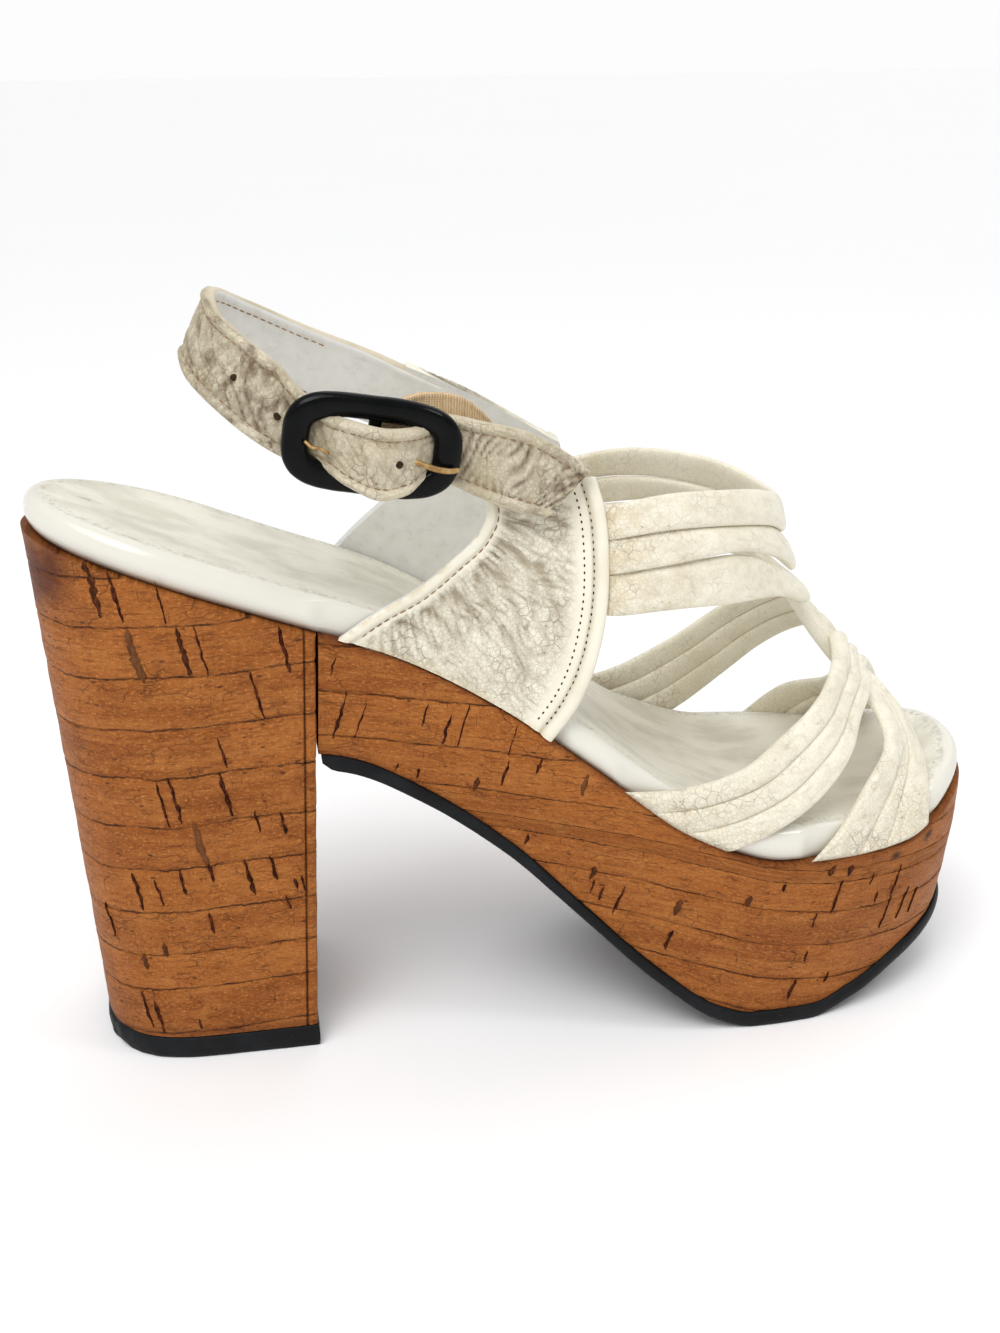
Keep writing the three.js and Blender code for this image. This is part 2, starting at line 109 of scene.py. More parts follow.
def round_end(distance, power):
    inside = np.clip(distance, 0, 1) ** power
    return (1 - inside) ** (1 / power)


def half_width(x, side):
    heel = round_end((HEEL_RADIUS - x) / HEEL_RADIUS, HEEL_CURVE)
    toe = round_end((x - TOE_START) / (SOLE_LENGTH - TOE_START), TOE_CURVE)
    return plan[side](x) * heel * toe


def outline(x, side, inset):
    """Points of the sole's outline at stations x, moved inwards by inset along its normal."""
    a, b = np.maximum(0, x - 0.05), np.minimum(SOLE_LENGTH, x + 0.05)
    rise = half_width(b, side) - half_width(a, side)
    length = np.hypot(rise, b - a)
    y = half_width(x, side) - inset * (b - a) / length
    return x + inset * rise / length, side * np.maximum(0.3, y)


def even_stations(x0, x1, step, side=LATERAL):
    """Stations from x0 to x1 that are evenly spaced along the outline."""
    x = x0 + (x1 - x0) * (1 - np.cos(np.linspace(0, np.pi, 4001))) / 2
    run = np.concatenate([[0], np.cumsum(np.hypot(np.diff(x), np.diff(half_width(x, side))))])
    count = int(run[-1] / step)
    return np.interp(np.linspace(0, run[-1], count + 1), run, x)


# ---------------------------------------------------------------- noise
def _hash(i, j, k, seed):
    n = (i * 374761393 + j * 668265263 + k * 2147483647 + seed * 974634777) & 0xFFFFFFFF
    n = ((n ^ (n >> 13)) * 1274126177) & 0xFFFFFFFF
    return ((n ^ (n >> 16)) & 0xFFFF) / 32767.5 - 1


def noise(points, size, seed=0):
    """Smooth value noise from -1 to 1 at points in mm, with features about size mm across."""
    q = np.asarray(points, float) / size + 1000
    cell = np.floor(q).astype(np.int64)
    f = q - cell
    f = f * f * (3 - 2 * f)
    total = 0
    for corner in range(8):
        step = np.array([corner & 1, corner >> 1 & 1, corner >> 2 & 1])
        weight = np.prod(np.where(step, f, 1 - f), axis=-1)
        c = cell + step
        total = total + weight * _hash(c[..., 0], c[..., 1], c[..., 2], seed)
    return total


def flat_noise(seed, a, b=0.0, c=0.0):
    """Noise over coordinates that are already divided by the size of their features."""
    return noise(np.stack(np.broadcast_arrays(a, b, c), -1), 1, seed)


def ridges(seed, a, b=0.0, c=0.0, power=5):
    """Noise from 0 to 1 with narrow crests."""
    return (1 - np.abs(flat_noise(seed, a, b, c))) ** power


def bell(distance, width):
    return np.exp(-(distance / width) ** 2)


# ---------------------------------------------------------------- mesh building
def linked(name, data):
    obj = bpy.data.objects.new(name, data)
    bpy.context.scene.collection.objects.link(obj)
    return obj


class Builder:
    """Collects grids of points into one mesh, with a UV map and named values per point."""

    def __init__(self):
        self.points, self.faces, self.uvs, self.materials = [], [], [], []
        self.values = {}
        self.count = 0

    def grid(self, p, u=None, v=None, wrap_u=False, wrap_v=False, caps=False, material=0, **values):
        nu, nv = p.shape[:2]
        ku, kv = nu if wrap_u else nu - 1, nv if wrap_v else nv - 1
        i, j = np.meshgrid(np.arange(ku), np.arange(kv), indexing="ij")
        i2, j2 = (i + 1) % nu, (j + 1) % nv
        quads = np.stack([i * nv + j, i2 * nv + j, i2 * nv + j2, i * nv + j2], -1).reshape(-1, 4)
        u = np.arange(nu + 1.0) if u is None else np.asarray(u, float)
        v = np.arange(nv + 1.0) if v is None else np.asarray(v, float)
        u = u[:, None] if u.ndim == 1 else u
        v = v[None, :] if v.ndim == 1 else v

        def corner(values, a, b):
            return values[np.minimum(a, values.shape[0] - 1), np.minimum(b, values.shape[1] - 1)]
        corners = [(i, j), (i + 1, j), (i + 1, j + 1), (i, j + 1)]
        uv = np.stack([np.stack([corner(u, a, b), corner(v, a, b)], -1) for a, b in corners], 2)
        uv = uv.reshape(-1, 4, 2)
        self.points.append(p.reshape(-1, 3))
        self.faces += (quads + self.count).tolist()
        self.uvs += uv.tolist()
        self.materials += np.broadcast_to(np.resize(material, kv), (ku, kv)).ravel().tolist()
        if caps:
            for row in (0, nu - 1):
                ring = (np.arange(nv) + row * nv + self.count).tolist()
                self.faces.append(ring)
                self.uvs.append([[float(corner(u, row, 0)), 0.0]] * nv)
                self.materials.append(int(np.ravel(material)[0]))
        for key in self.values | values:
            filled = self.values.setdefault(key, np.zeros(self.count))
            new = np.broadcast_to(values.get(key, 0.0), p.shape[:2]).reshape(-1)
            self.values[key] = np.concatenate([filled, new])
        self.count += nu * nv

    def build(self, name, materials, replaces=(), sharp_angle=None, merge=False):
        points = np.concatenate(self.points)
        mesh = bpy.data.meshes.new(name)
        shift = np.array([heel_low.x / MM, platform_low.y / MM + SHIFT_Y, 0])
        mesh.from_pydata(((points + shift) * MM).tolist(), [], self.faces)
        layer = mesh.uv_layers.new(name="UVMap")
        flat = np.array([c for face in self.uvs for c in face], np.float32)
        layer.data.foreach_set("uv", flat.ravel())
        for key, data in self.values.items():
            attribute = mesh.attributes.new(key, "FLOAT", "POINT")
            attribute.data.foreach_set("value", data.astype(np.float32))
        for m in materials:
            mesh.materials.append(m)
        mesh.polygons.foreach_set("material_index", self.materials)
        mesh.polygons.foreach_set("use_smooth", [True] * len(mesh.polygons))
        bm = bmesh.new()
        bm.from_mesh(mesh)
        if merge:
            bmesh.ops.remove_doubles(bm, verts=bm.verts, dist=0.001 * MM)
        bmesh.ops.recalc_face_normals(bm, faces=bm.faces)
        bm.to_mesh(mesh)
        bm.free()
        obj = linked(name, mesh)
        if sharp_angle:
            mesh.set_sharp_from_angle(angle=math.radians(sharp_angle))
        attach(obj, "root")
        if replaces:
            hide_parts(*replaces)
        return obj


# The lateral side of the platform is the frame's lowest y, so the shoe's own y = 0 lies here.
SHIFT_Y = float(np.max(half_width(np.linspace(0, SOLE_LENGTH, 4000), LATERAL)))


def curve(points, u):
    """Centripetal Catmull-Rom curve through rows of points, at row numbers u."""
    p = np.vstack([2 * points[0] - points[1], points, 2 * points[-1] - points[-2]])
    i = np.clip(np.floor(u).astype(int), 0, len(points) - 2)
    t = (u - i)[:, None]
    p0, p1, p2, p3 = p[i], p[i + 1], p[i + 2], p[i + 3]

    def gap(a, b):
        return np.maximum(np.sqrt(np.linalg.norm(b - a, axis=1)), 1e-4)[:, None]
    d0, d1, d2 = gap(p0, p1), gap(p1, p2), gap(p2, p3)
    m1 = ((p1 - p0) / d0 - (p2 - p0) / (d0 + d1) + (p2 - p1) / d1) * d1
    m2 = ((p2 - p1) / d1 - (p3 - p1) / (d1 + d2) + (p3 - p2) / d2) * d1
    t2, t3 = t * t, t * t * t
    return ((2 * t3 - 3 * t2 + 1) * p1 + (t3 - 2 * t2 + t) * m1
            + (3 * t2 - 2 * t3) * p2 + (t3 - t2) * m2)


def unit(v):
    return v / np.maximum(np.linalg.norm(v, axis=-1, keepdims=True), 1e-9)


def run_length(path):
    return np.concatenate([[0], np.cumsum(np.linalg.norm(np.diff(path, axis=0), axis=1))])


def column(value, like):
    """A number, or one number for each row of like, as a column."""
    return np.broadcast_to(np.asarray(value, float), like.shape)[:, None]


def bridge(a, b, count):
    """Evenly spaced columns of points between columns a and b."""
    return a + (b - a) * np.linspace(0, 1, count + 2)[None, 1:-1, None]


def ring_round(lateral, medial, count):
    """Two sides of a section joined into a ring, with count points across at each end."""
    return np.concatenate([lateral, bridge(lateral[:, -1:], medial[:, -1:], count),
                           medial[:, ::-1], bridge(medial[:, :1], lateral[:, :1], count)], 1)


class Band:
    """A strap's two edge curves, sampled together at an even step, with its outward normals."""

    def __init__(self, rows, centre, step=0.9):
        edge_a, edge_b = rows[:, :3], rows[:, 3:]
        u = np.linspace(0, len(rows) - 1, 60 * len(rows))
        length = run_length((curve(edge_a, u) + curve(edge_b, u)) / 2)
        self.u = np.interp(np.linspace(0, length[-1], int(length[-1] / step) + 1), length, u)
        self.a, self.b = curve(edge_a, self.u), curve(edge_b, self.u)
        self.along = unit(np.gradient(self.a + self.b, axis=0))
        normal = np.cross(self.along, unit(self.b - self.a))
        outward = (self.a + self.b) / 2 - np.asarray(centre, float)
        flip = np.where(np.sum(normal * outward, axis=1) < 0, -1.0, 1.0)
        self.normal = unit(normal) * flip[:, None]
        self.length = run_length((self.a + self.b) / 2)
        self.width = np.linalg.norm(self.b - self.a, axis=1)
        self.share = self.length / self.length[-1]

    def part(self, start, end):
        """The strip between two shares of the width, each a number or one per row."""
        piece = object.__new__(Band)
        piece.__dict__.update(self.__dict__)
        piece.a = self.a + (self.b - self.a) * column(start, self.u)
        piece.b = self.a + (self.b - self.a) * column(end, self.u)
        piece.width = np.linalg.norm(piece.b - piece.a, axis=1)
        return piece

    def at(self, share, height):
        """A grid of points at shares of the width, raised by height along the normal."""
        across = (self.b - self.a)[:, None] * np.asarray(share)[None, :, None]
        return self.a[:, None] + across + self.normal[:, None] * height[..., None]


def tucked(p):
    """Points of a strap, drawn in under the cork's top edge where they come down to it."""
    x = np.clip(p[..., 0], 0, SOLE_LENGTH)
    rise = p[..., 2] - feather(x)
    side = np.where(p[..., 1] < 0, half_width(x, LATERAL), half_width(x, MEDIAL))
    limit = side - 0.1 - 0.8 * np.clip(1.0 - rise, 0, 4)
    y = np.abs(p[..., 1])
    q = p.copy()
    q[..., 1] = np.sign(p[..., 1]) * np.where(
        rise < 6, np.minimum(y, limit + np.clip(rise - 1, 0, 9)), y)
    return q


def fold(builder, band, crown, depth, seed, power, lift, tilt, crackle, dirt):
    """One soft pleat: a flattened closed tube between a band's edges."""
    around, ripple, groove = 30, 0.09, 0.14
    angle = np.linspace(0, 2 * np.pi, around, endpoint=False)
    bend = 2 / power
    s = 0.5 - 0.5 * np.sign(np.cos(angle)) * np.abs(np.cos(angle)) ** bend
    h = np.sign(np.sin(angle)) * np.abs(np.sin(angle)) ** bend
    crown, depth, lift, tilt, crackle, dirt = (
        column(v, band.u) for v in (crown, depth, lift, tilt, crackle, dirt))
    along, across = band.length[:, None] / 9, s[None, :] * band.width[:, None] / 3
    level = seed * 7.3
    wave = (flat_noise(seed, along, across, level)
            + 0.5 * flat_noise(seed + 5, along * 3.1, across * 1.6, level))
    rough = ridges(seed + 9, along * 2.3, across * 2.2, level, 6)
    outer = np.clip(h, 0, 1)[None, :]
    height = np.where(h > 0, crown, depth) * h + lift + tilt * (s - 0.5)[None, :]
    height = height + outer * (ripple * wave - groove * rough)
    # The leather is darkened along the grooves of the fold's crown: painted shade.
    builder.grid(tucked(band.at(s, height)), u=band.length,
                 v=np.append(s, 1) * np.mean(band.width), wrap_v=True, caps=True,
                 crackle=crackle, dirt=dirt, crease=outer * rough * 0.3)


def tube(builder, path, radius, around=10, flat=1.0, up=(0, 0, 1), **values):
    """A tube along a path; flat squeezes it along up."""
    tangent = unit(np.gradient(path, axis=0))
    up = np.broadcast_to(np.asarray(up, float), path.shape)
    side = unit(np.cross(tangent, up))
    top = unit(np.cross(side, tangent))
    angle = np.linspace(0, 2 * np.pi, around, endpoint=False)
    radius = np.broadcast_to(np.asarray(radius, float), path.shape[:1])[:, None, None]
    ring = (side[:, None] * np.cos(angle)[None, :, None]
            + top[:, None] * (flat * np.sin(angle))[None, :, None])
    builder.grid(path[:, None] + radius * ring, u=run_length(path), v=np.arange(around + 1.0),
                 wrap_v=True, caps=True, **values)


def stitch_row(builder, path, normal, pitch, length, radius, sink=0.0, **values):
    """Short threads, or needle holes, one every pitch mm along a path that lies on a surface."""
    run = run_length(path)
    for centre in np.arange(pitch, run[-1] - pitch / 2, pitch):
        at = centre + np.linspace(-length / 2, length / 2, 5)
        p = np.stack([np.interp(at, run, path[:, k]) for k in range(3)], 1)
        n = unit(np.array([np.interp(centre, run, normal[:, k]) for k in range(3)]))
        thick = radius * np.array([0.35, 0.85, 1, 0.85, 0.35])
        tube(builder, p - n * sink, thick, around=6, flat=0.7, up=n, **values)


# ---------------------------------------------------------------- materials
def rgb(r, g, b):
    def linear(c):
        c /= 255
        return c / 12.92 if c <= 0.04045 else ((c + 0.055) / 1.055) ** 2.4
    return (linear(r), linear(g), linear(b), 1.0)


class Shader:
    """Node maker: every argument may be a number, a colour or another node's socket."""

    def __init__(self, name):
        self.material = bpy.data.materials.new(name)
        self.material.use_nodes = True
        self.tree = self.material.node_tree
        self.bsdf = self.tree.nodes["Principled BSDF"]

    def put(self, socket, value):
        if isinstance(value, bpy.types.NodeSocket):
            self.tree.links.new(value, socket)
        else:
            socket.default_value = value

    def node(self, kind, inputs, out=0, **settings):
        node = self.tree.nodes.new("ShaderNode" + kind)
        for key, value in settings.items():
            setattr(node, key, value)
        for key, value in inputs.items():
            self.put(node.inputs[key], value)
        return node.outputs[out]

    def math(self, operation, a, b=0.0):
        return self.node("Math", {0: a, 1: b}, operation=operation)

    def mul(self, *factors):
        product = factors[0]
        for factor in factors[1:]:
            product = self.math("MULTIPLY", product, factor)
        return product

    def plus(self, *terms):
        total = terms[0]
        for term in terms[1:]:
            total = self.math("ADD", total, term)
        return total

    def ramp(self, value, low, high, to_low=0.0, to_high=1.0):
        """value from low..high, clamped and eased, to to_low..to_high."""
        inputs = {0: value, 1: low, 2: high, 3: to_low, 4: to_high}
        return self.node("MapRange", inputs, interpolation_type="SMOOTHSTEP")

    def mix(self, share, a, b, blend="MIX"):
        inputs = {0: share, 6: a, 7: b}
        return self.node("Mix", inputs, out=2, data_type="RGBA", blend_type=blend)

    def layers(self, colour, *rows):
        """colour with others laid over it, each with its field, low, high and strength."""
        for field, low, high, strength, over in rows:
            colour = self.mix(self.ramp(field, low, high, 0, strength), colour, over)
        return colour

    def coats(self, colour, *rows):
        """colour with others laid over it, each with its share."""
        for share, over in rows:
            colour = self.mix(share, colour, over)
        return colour

    def attribute(self, name):
        return self.node("Attribute", {}, out=2, attribute_name=name)

    def vector(self, operation, a, b):
        return self.node("VectorMath", {0: a, 1: b}, operation=operation)

    def place(self, *sizes):
        """Object coordinates, counted in steps of sizes mm: one size, or one for each axis."""
        scale = [1 / size / MM for size in (sizes if len(sizes) == 3 else sizes * 3)]
        return self.vector("MULTIPLY", self.node("TexCoord", {}, out=3), scale)

    def uv(self, along, across):
        """UV coordinates in mm, counted in steps of along and across."""
        return self.vector("MULTIPLY", self.node("TexCoord", {}, out=2),
                           (1 / along, 1 / across, 0))

    def noise(self, where, detail=3.0, rough=0.55, warp=0.0):
        inputs = {"Vector": where, "Scale": 1.0, "Detail": detail, "Roughness": rough,
                  "Distortion": warp}
        return self.node("TexNoise", inputs)

    def cells(self, where, feature="F1", out=0):
        return self.node("TexVoronoi", {"Vector": where, "Scale": 1.0}, out=out, feature=feature)

    def cracks(self, where, amount, scale, wide, narrow):
        """Lines between cells whose coordinates are moved about by noise."""
        shift = self.node("TexNoise", {"Vector": where, "Scale": scale, "Detail": 2.0}, out=1)
        moved = self.node("VectorMath", {0: shift, 3: amount}, operation="SCALE")
        edge = self.cells(self.vector("ADD", where, moved), "DISTANCE_TO_EDGE")
        return self.ramp(edge, wide, narrow)

    def dots(self, where, wide, narrow):
        """A dot in about one cell in five."""
        chance = self.node("SeparateColor", {0: self.cells(where, out=1)})
        return self.mul(self.ramp(self.cells(where), wide, narrow), self.ramp(chance, 0.78, 0.84))

    def bump(self, height, distance):
        return self.node("Bump", {"Height": height, "Distance": distance * MM, "Strength": 1.0})

    def finish(self, colour, roughness, normal=None, **more):
        self.put(self.bsdf.inputs["Base Color"], colour)
        self.put(self.bsdf.inputs["Roughness"], roughness)
        if normal is not None:
            self.put(self.bsdf.inputs["Normal"], normal)
        for key, value in more.items():
            self.bsdf.inputs[key.replace("_", " ")].default_value = value
        return self.material


def cork_material():
    """UV: mm along the outline, and ten times the number of cork strips above the base."""
    m = Shader("cork")
    along, number = (m.node("SeparateXYZ", {0: m.uv(1, 1)}, out=axis) for axis in (0, 1))
    level = m.plus(m.mul(number, 0.1),
                   m.ramp(m.noise(m.uv(16, 40), 2.0), 0.2, 0.8, -0.05, 0.05),
                   m.ramp(m.noise(m.uv(1.6, 8), 2.0), 0.2, 0.8, -0.014, 0.014))
    strip = m.math("FLOOR", level)
    edge = m.math("ABSOLUTE", m.plus(m.math("FRACT", level), -0.5))
    joint = m.mul(m.ramp(edge, 0.474, 0.492),
                  m.ramp(m.noise(m.uv(7, 9), 2.0), 0.36, 0.6, 0.35, 1.0))
    piece = m.math("FLOOR", m.plus(m.mul(along, 1 / 47), m.mul(strip, 0.37)))
    key = m.node("CombineXYZ", {0: piece, 1: strip, 2: 0.5})
    tone = m.node("TexWhiteNoise", {"Vector": key}, noise_dimensions="3D")
    streak = m.noise(m.uv(6, 0.9), 6.0, 0.65, 0.3)
    fibre = m.noise(m.uv(1.5, 0.34), 4.0, 0.62, 0.3)
    dash = m.noise(m.vector("ADD", m.uv(1.2, 0.4), (31, 17, 5)), 4.0, 0.65)
    speck = m.noise(m.uv(0.7, 0.7), 3.0, 0.6)
    bands = m.noise(m.uv(34, 3.4), 3.0, 0.5, 0.3)
    mottle = m.noise(m.place(8, 8, 5), 5.0, 0.65)
    grit = m.noise(m.uv(0.8, 0.55), 5.0, 0.75)
    tick = m.mul(m.ramp(m.noise(m.uv(0.3, 2.4), 3.0, 0.6), 0.57, 0.66),
                 m.ramp(m.noise(m.uv(9, 6), 2.0), 0.45, 0.62))
    pore = m.dots(m.uv(4.2, 1.3), 0.2, 0.1)
    crack = m.mul(m.cracks(m.uv(7, 2.6), 0.5, 1.6, 0.022, 0.006),
                  m.ramp(m.noise(m.uv(10, 7), 2.0), 0.5, 0.6))
    colour = m.layers(
        m.mix(m.ramp(tone, 0, 1), rgb(150, 86, 34), rgb(172, 104, 46)),
        (bands, 0.4, 0.68, 0.7, rgb(186, 120, 60)),
        (streak, 0.48, 0.68, 0.6, rgb(112, 58, 20)),
        (mottle, 0.52, 0.72, 0.45, rgb(126, 68, 25)),
        (mottle, 0.46, 0.32, 0.35, rgb(196, 132, 70)),
        (fibre, 0.52, 0.68, 0.6, rgb(104, 54, 18)),
        (dash, 0.53, 0.68, 0.7, rgb(212, 150, 86)),
        (grit, 0.55, 0.72, 0.45, rgb(206, 146, 84)),
        (grit, 0.45, 0.3, 0.6, rgb(90, 44, 14)),
        (speck, 0.66, 0.74, 0.8, rgb(84, 40, 14)))
    colour = m.coats(
        colour, (m.mul(tick, 0.65), rgb(82, 40, 14)), (m.mul(pore, 0.7), rgb(62, 34, 20)),
        (m.mul(crack, 0.3), rgb(84, 42, 16)), (m.attribute("stain"), rgb(84, 38, 18)),
        (m.mul(joint, 0.85), rgb(50, 26, 14)), (m.attribute("dark"), rgb(40, 22, 14)))
    colour = m.mix(1.0, colour, (0.84, 0.78, 0.7, 1.0), "MULTIPLY")
    height = m.plus(m.mul(streak, -0.6), m.mul(grit, 0.5), m.mul(fibre, -0.3),
                    m.mul(m.plus(joint, m.plus(pore, crack)), -0.9))
    return m.finish(colour, m.ramp(streak, 0.3, 0.8, 0.45, 0.62), m.bump(height, 0.3),
                    Specular_IOR_Level=0.15)


def slot_material():
    m = Shader("cork_slot")
    speck = m.noise(m.place(0.8, 0.8, 2), 4.0, 0.7)
    colour = m.mix(m.ramp(speck, 0.42, 0.68), rgb(40, 16, 8), rgb(96, 46, 24))
    colour = m.mix(m.attribute("tone"), colour, m.mix(speck, rgb(96, 52, 24), rgb(150, 104, 66)))
    return m.finish(colour, 0.9, m.bump(speck, 0.3), Specular_IOR_Level=0.1)


def leather_material(name, base, shade, dirt_colour, crack_colour, crack_depth, roughness):
    m = Shader(name)
    crackle = m.attribute("crackle")
    cloud = m.noise(m.place(14))
    grain = m.noise(m.place(0.55), 3.0, 0.6)
    coarse = m.cracks(m.place(2.6), 0.75, 0.9, 0.055, 0.008)
    fine = m.cracks(m.place(1.15), 0.7, 0.9, 0.1, 0.015)
    patchy = m.ramp(m.noise(m.place(8), 2.0), 0.42, 0.62)
    crack = m.mul(m.math("MAXIMUM", m.mul(coarse, patchy), m.mul(fine, 0.45)), crackle)
    # Real dirt on the quarters and folds, and painted shade on the sling strap's heel part, darken
    # the leather in the dirt colour.
    soiling_and_shade = m.mul(m.attribute("dirt"), m.ramp(m.noise(m.place(3), 4.0, 0.65), 0.35, 0.62))
    dot = m.dots(m.place(2.1), 0.16, 0.09)
    # Painted shade: the leather is darkened along creases and seam grooves in the crack colour,
    # besides the real cracks.
    colour = m.coats(
        m.mix(m.ramp(cloud, 0.4, 0.7), base, shade),
        (m.attribute("pale"), rgb(228, 222, 203)), (m.mul(crack, crack_depth), crack_colour),
        (m.mul(m.attribute("crease"), 0.75), crack_colour), (soiling_and_shade, dirt_colour),
        (m.mul(dot, m.mul(crackle, 0.6)), rgb(128, 100, 66)))
    height = m.plus(m.mul(crack, -0.8), m.mul(grain, 0.35), m.mul(dot, -0.5))
    rough = m.plus(m.ramp(cloud, 0.3, 0.7, roughness - 0.05, roughness + 0.08),
                   m.mul(crack, 0.25))
    return m.finish(colour, rough, m.bump(height, 0.2), Specular_IOR_Level=0.45)


def plain_material(name, dark, light, size, roughness, spread=0.1, distance=0.08, **more):
    """A smooth finish with cloudy colour, scratches and a little wear."""
    m = Shader(name)
    cloud = m.noise(m.place(size), 4.0, 0.6)
    speck = m.noise(m.place(0.7), 3.0, 0.6)
    scratch = m.noise(m.place(9, 0.5, 0.5), 2.0)
    colour = m.mix(m.ramp(cloud, 0.35, 0.68), dark, light)
    rough = m.plus(m.ramp(cloud, 0.3, 0.7, roughness - spread, roughness + spread),
                   m.ramp(scratch, 0.62, 0.74, 0, spread))
    height = m.plus(m.mul(speck, 0.5), m.mul(scratch, 0.4))
    return m.finish(colour, rough, m.bump(height, distance), **more)


def insole_material():
    """A matt, scratched top and a glossy rim with a worn line round its upper edge."""
    m = Shader("insole")
    top = m.attribute("top")
    cloud = m.noise(m.place(18, 10, 18), 4.0, 0.6)
    scratch = m.noise(m.place(16, 1.1, 1.1), 4.0, 0.65)
    worn = m.mul(m.attribute("wear"), m.ramp(m.noise(m.place(1.4), 4.0, 0.7), 0.5, 0.62))
    colour = m.layers(
        m.mix(m.ramp(cloud, 0.4, 0.68), rgb(226, 222, 208), rgb(206, 202, 186)),
        (scratch, 0.58, 0.72, 0.35, rgb(182, 174, 152)))
    colour = m.coats(m.mix(top, rgb(220, 217, 206), colour),
                     (m.mul(worn, 0.5), rgb(176, 168, 150)),
                     (m.attribute("dark"), rgb(120, 104, 84)))
    rough = m.plus(m.mul(top, 0.36), m.plus(m.mul(worn, 0.25), 0.16))
    height = m.plus(m.mul(m.mul(scratch, top), 0.6), m.mul(worn, -0.6),
                    m.mul(m.noise(m.place(0.6)), m.plus(m.mul(top, 0.4), 0.06)))
    return m.finish(colour, rough, m.bump(height, 0.14), Specular_IOR_Level=0.5)


def woven_material():
    """UV in mm: ribs across the tape."""
    m = Shader("elastic")
    rib, yarn = (
        m.node("TexWave", {"Vector": where, "Scale": 0.5, "Distortion": bent}, bands_direction=axis)
        for where, bent, axis in ((m.uv(1.1, math.inf), 0.6, "X"), (m.uv(math.inf, 0.8), 0.8, "Y")))
    weave = m.mul(rib, m.plus(m.mul(yarn, 0.5), 0.5))
    fuzz = m.noise(m.place(0.5), 3.0, 0.7)
    colour = m.layers(m.mix(weave, rgb(206, 170, 126), rgb(250, 228, 190)),
                      (fuzz, 0.55, 0.75, 0.4, rgb(246, 222, 182)))
    return m.finish(colour, 0.9, m.bump(m.plus(weave, m.mul(fuzz, 0.4)), 0.3),
                    Specular_IOR_Level=0.2)


def rubber_material():
    m = Shader("rubber")
    cloud = m.noise(m.place(12), 4.0, 0.6)
    nick = m.noise(m.place(1.3), 4.0, 0.75)
    colour = m.layers(m.mix(m.ramp(cloud, 0.4, 0.7), rgb(15, 16, 18), rgb(27, 29, 31)),
                      (nick, 0.68, 0.76, 0.6, rgb(120, 118, 112)))
    rough = m.ramp(cloud, 0.3, 0.7, 0.42, 0.62)
    return m.finish(colour, rough, m.bump(m.plus(nick, cloud), 0.18), Specular_IOR_Level=0.15)


cork = cork_material()
cork_slot = slot_material()
upper_leather = leather_material(
    "upper_leather", rgb(234, 229, 211), rgb(226, 220, 200), rgb(198, 172, 120),
    rgb(140, 124, 96), 0.85, 0.4)
# The sling strap is the same leather as the upper; its darker colours are partly painted shade for
# the strap's shaded side.
sling_leather = leather_material(
    "sling_leather", rgb(208, 198, 174), rgb(186, 174, 146), rgb(96, 76, 50),
    rgb(122, 104, 78), 0.7, 0.5)
lining = plain_material("lining", rgb(218, 217, 212), rgb(226, 225, 221), 4, 0.34,
                        Specular_IOR_Level=0.6)
insole_leather = insole_material()
rubber = rubber_material()
buckle_gloss = plain_material("buckle_gloss", rgb(4, 5, 5), rgb(9, 10, 11), 6, 0.12, 0.04, 0.05,
                              Specular_IOR_Level=0.12)
brass = plain_material("prong_metal", rgb(150, 116, 70), rgb(190, 156, 104), 2, 0.4,
                       Metallic=0.7)
elastic = woven_material()
thread = plain_material("thread", rgb(128, 100, 68), rgb(164, 134, 98), 3, 0.8)
needle_hole = plain_material("needle_hole", rgb(44, 32, 22), rgb(70, 52, 36), 2, 0.9,
                             Specular_IOR_Level=0.1)


# ---------------------------------------------------------------- cork
# Heights of the dark lines between the heel's cork strips, above x = 40, and of the platform's,
# which follow curve_drop down towards the toe.
HEEL_LINES = np.array([-3, 8, 21, 31, 43, 55, 66.5, 79.5, 92, 105, 117.5, 129.5, 142])
PLATFORM_LINES = np.array([-6, 5, 15, 26, 36.5, 47, 57.3, 65.8, 69.4, 76, 87, 99, 111, 122])
CURVE_DROP = monotone(np.array([
    (60, -1), (66, 0), (102, 5.5), (130, 9.5), (148, 13), (166, 18.5), (175, 21.5), (192, 24.5),
    (208, 25.5), (230, 27), (241, 27.4)]))
STRIP_TILT = 0.05


def heel_strip(x, z):
    return np.interp(z - STRIP_TILT * (x - 40), HEEL_LINES, np.arange(len(HEEL_LINES)))


def platform_strip(x, z):
    return np.interp(z + CURVE_DROP(x), PLATFORM_LINES, np.arange(len(PLATFORM_LINES)))


def strip_relief(strip, along):
    """How far the cork stands out, in mm: strips differ a little, with a groove between them."""
    number = np.floor(strip)
    edge = np.minimum(strip - number, number + 1 - strip)
    step = 0.13 * np.sin(number * 12.9898 + 3)
    wave = flat_noise(3, along / 8, strip * 3)
    return step + 0.1 * wave - 0.3 * bell(edge, 0.035)


def heel_point(u, share, side):
    """A point of the heel's side: u from the back (0) to the breast (1), share up from its base."""
    arc = np.minimum(1, u / 0.55)
    low_y = HEEL_WIDTH / 2 * np.maximum(0.04, round_end(1 - arc, HEEL_POWER))
    low_x = HEEL_BACK + (HEEL_BREAST - HEEL_BACK) * u
    high_x = HEEL_SEAM_TOP * u
    high_y = np.maximum(0.9, half_width(high_x, side))
    z = HEEL_BASE + (feather(high_x) - 0.3 - HEEL_BASE) * share
    return np.stack(np.broadcast_arrays(low_x + (high_x - low_x) * share,
                                        side * (low_y + (high_y - low_y) * share), z), -1)


def outward_of(p):
    """Unit normals of a grid of points, by its rows and columns."""
    return unit(np.cross(np.gradient(p, axis=0), np.gradient(p, axis=1)))


def facing(normal, p, centre):
    flip = np.sum(normal * (p - np.asarray(centre, float)), axis=-1, keepdims=True) < 0
    return np.where(flip, -normal, normal)


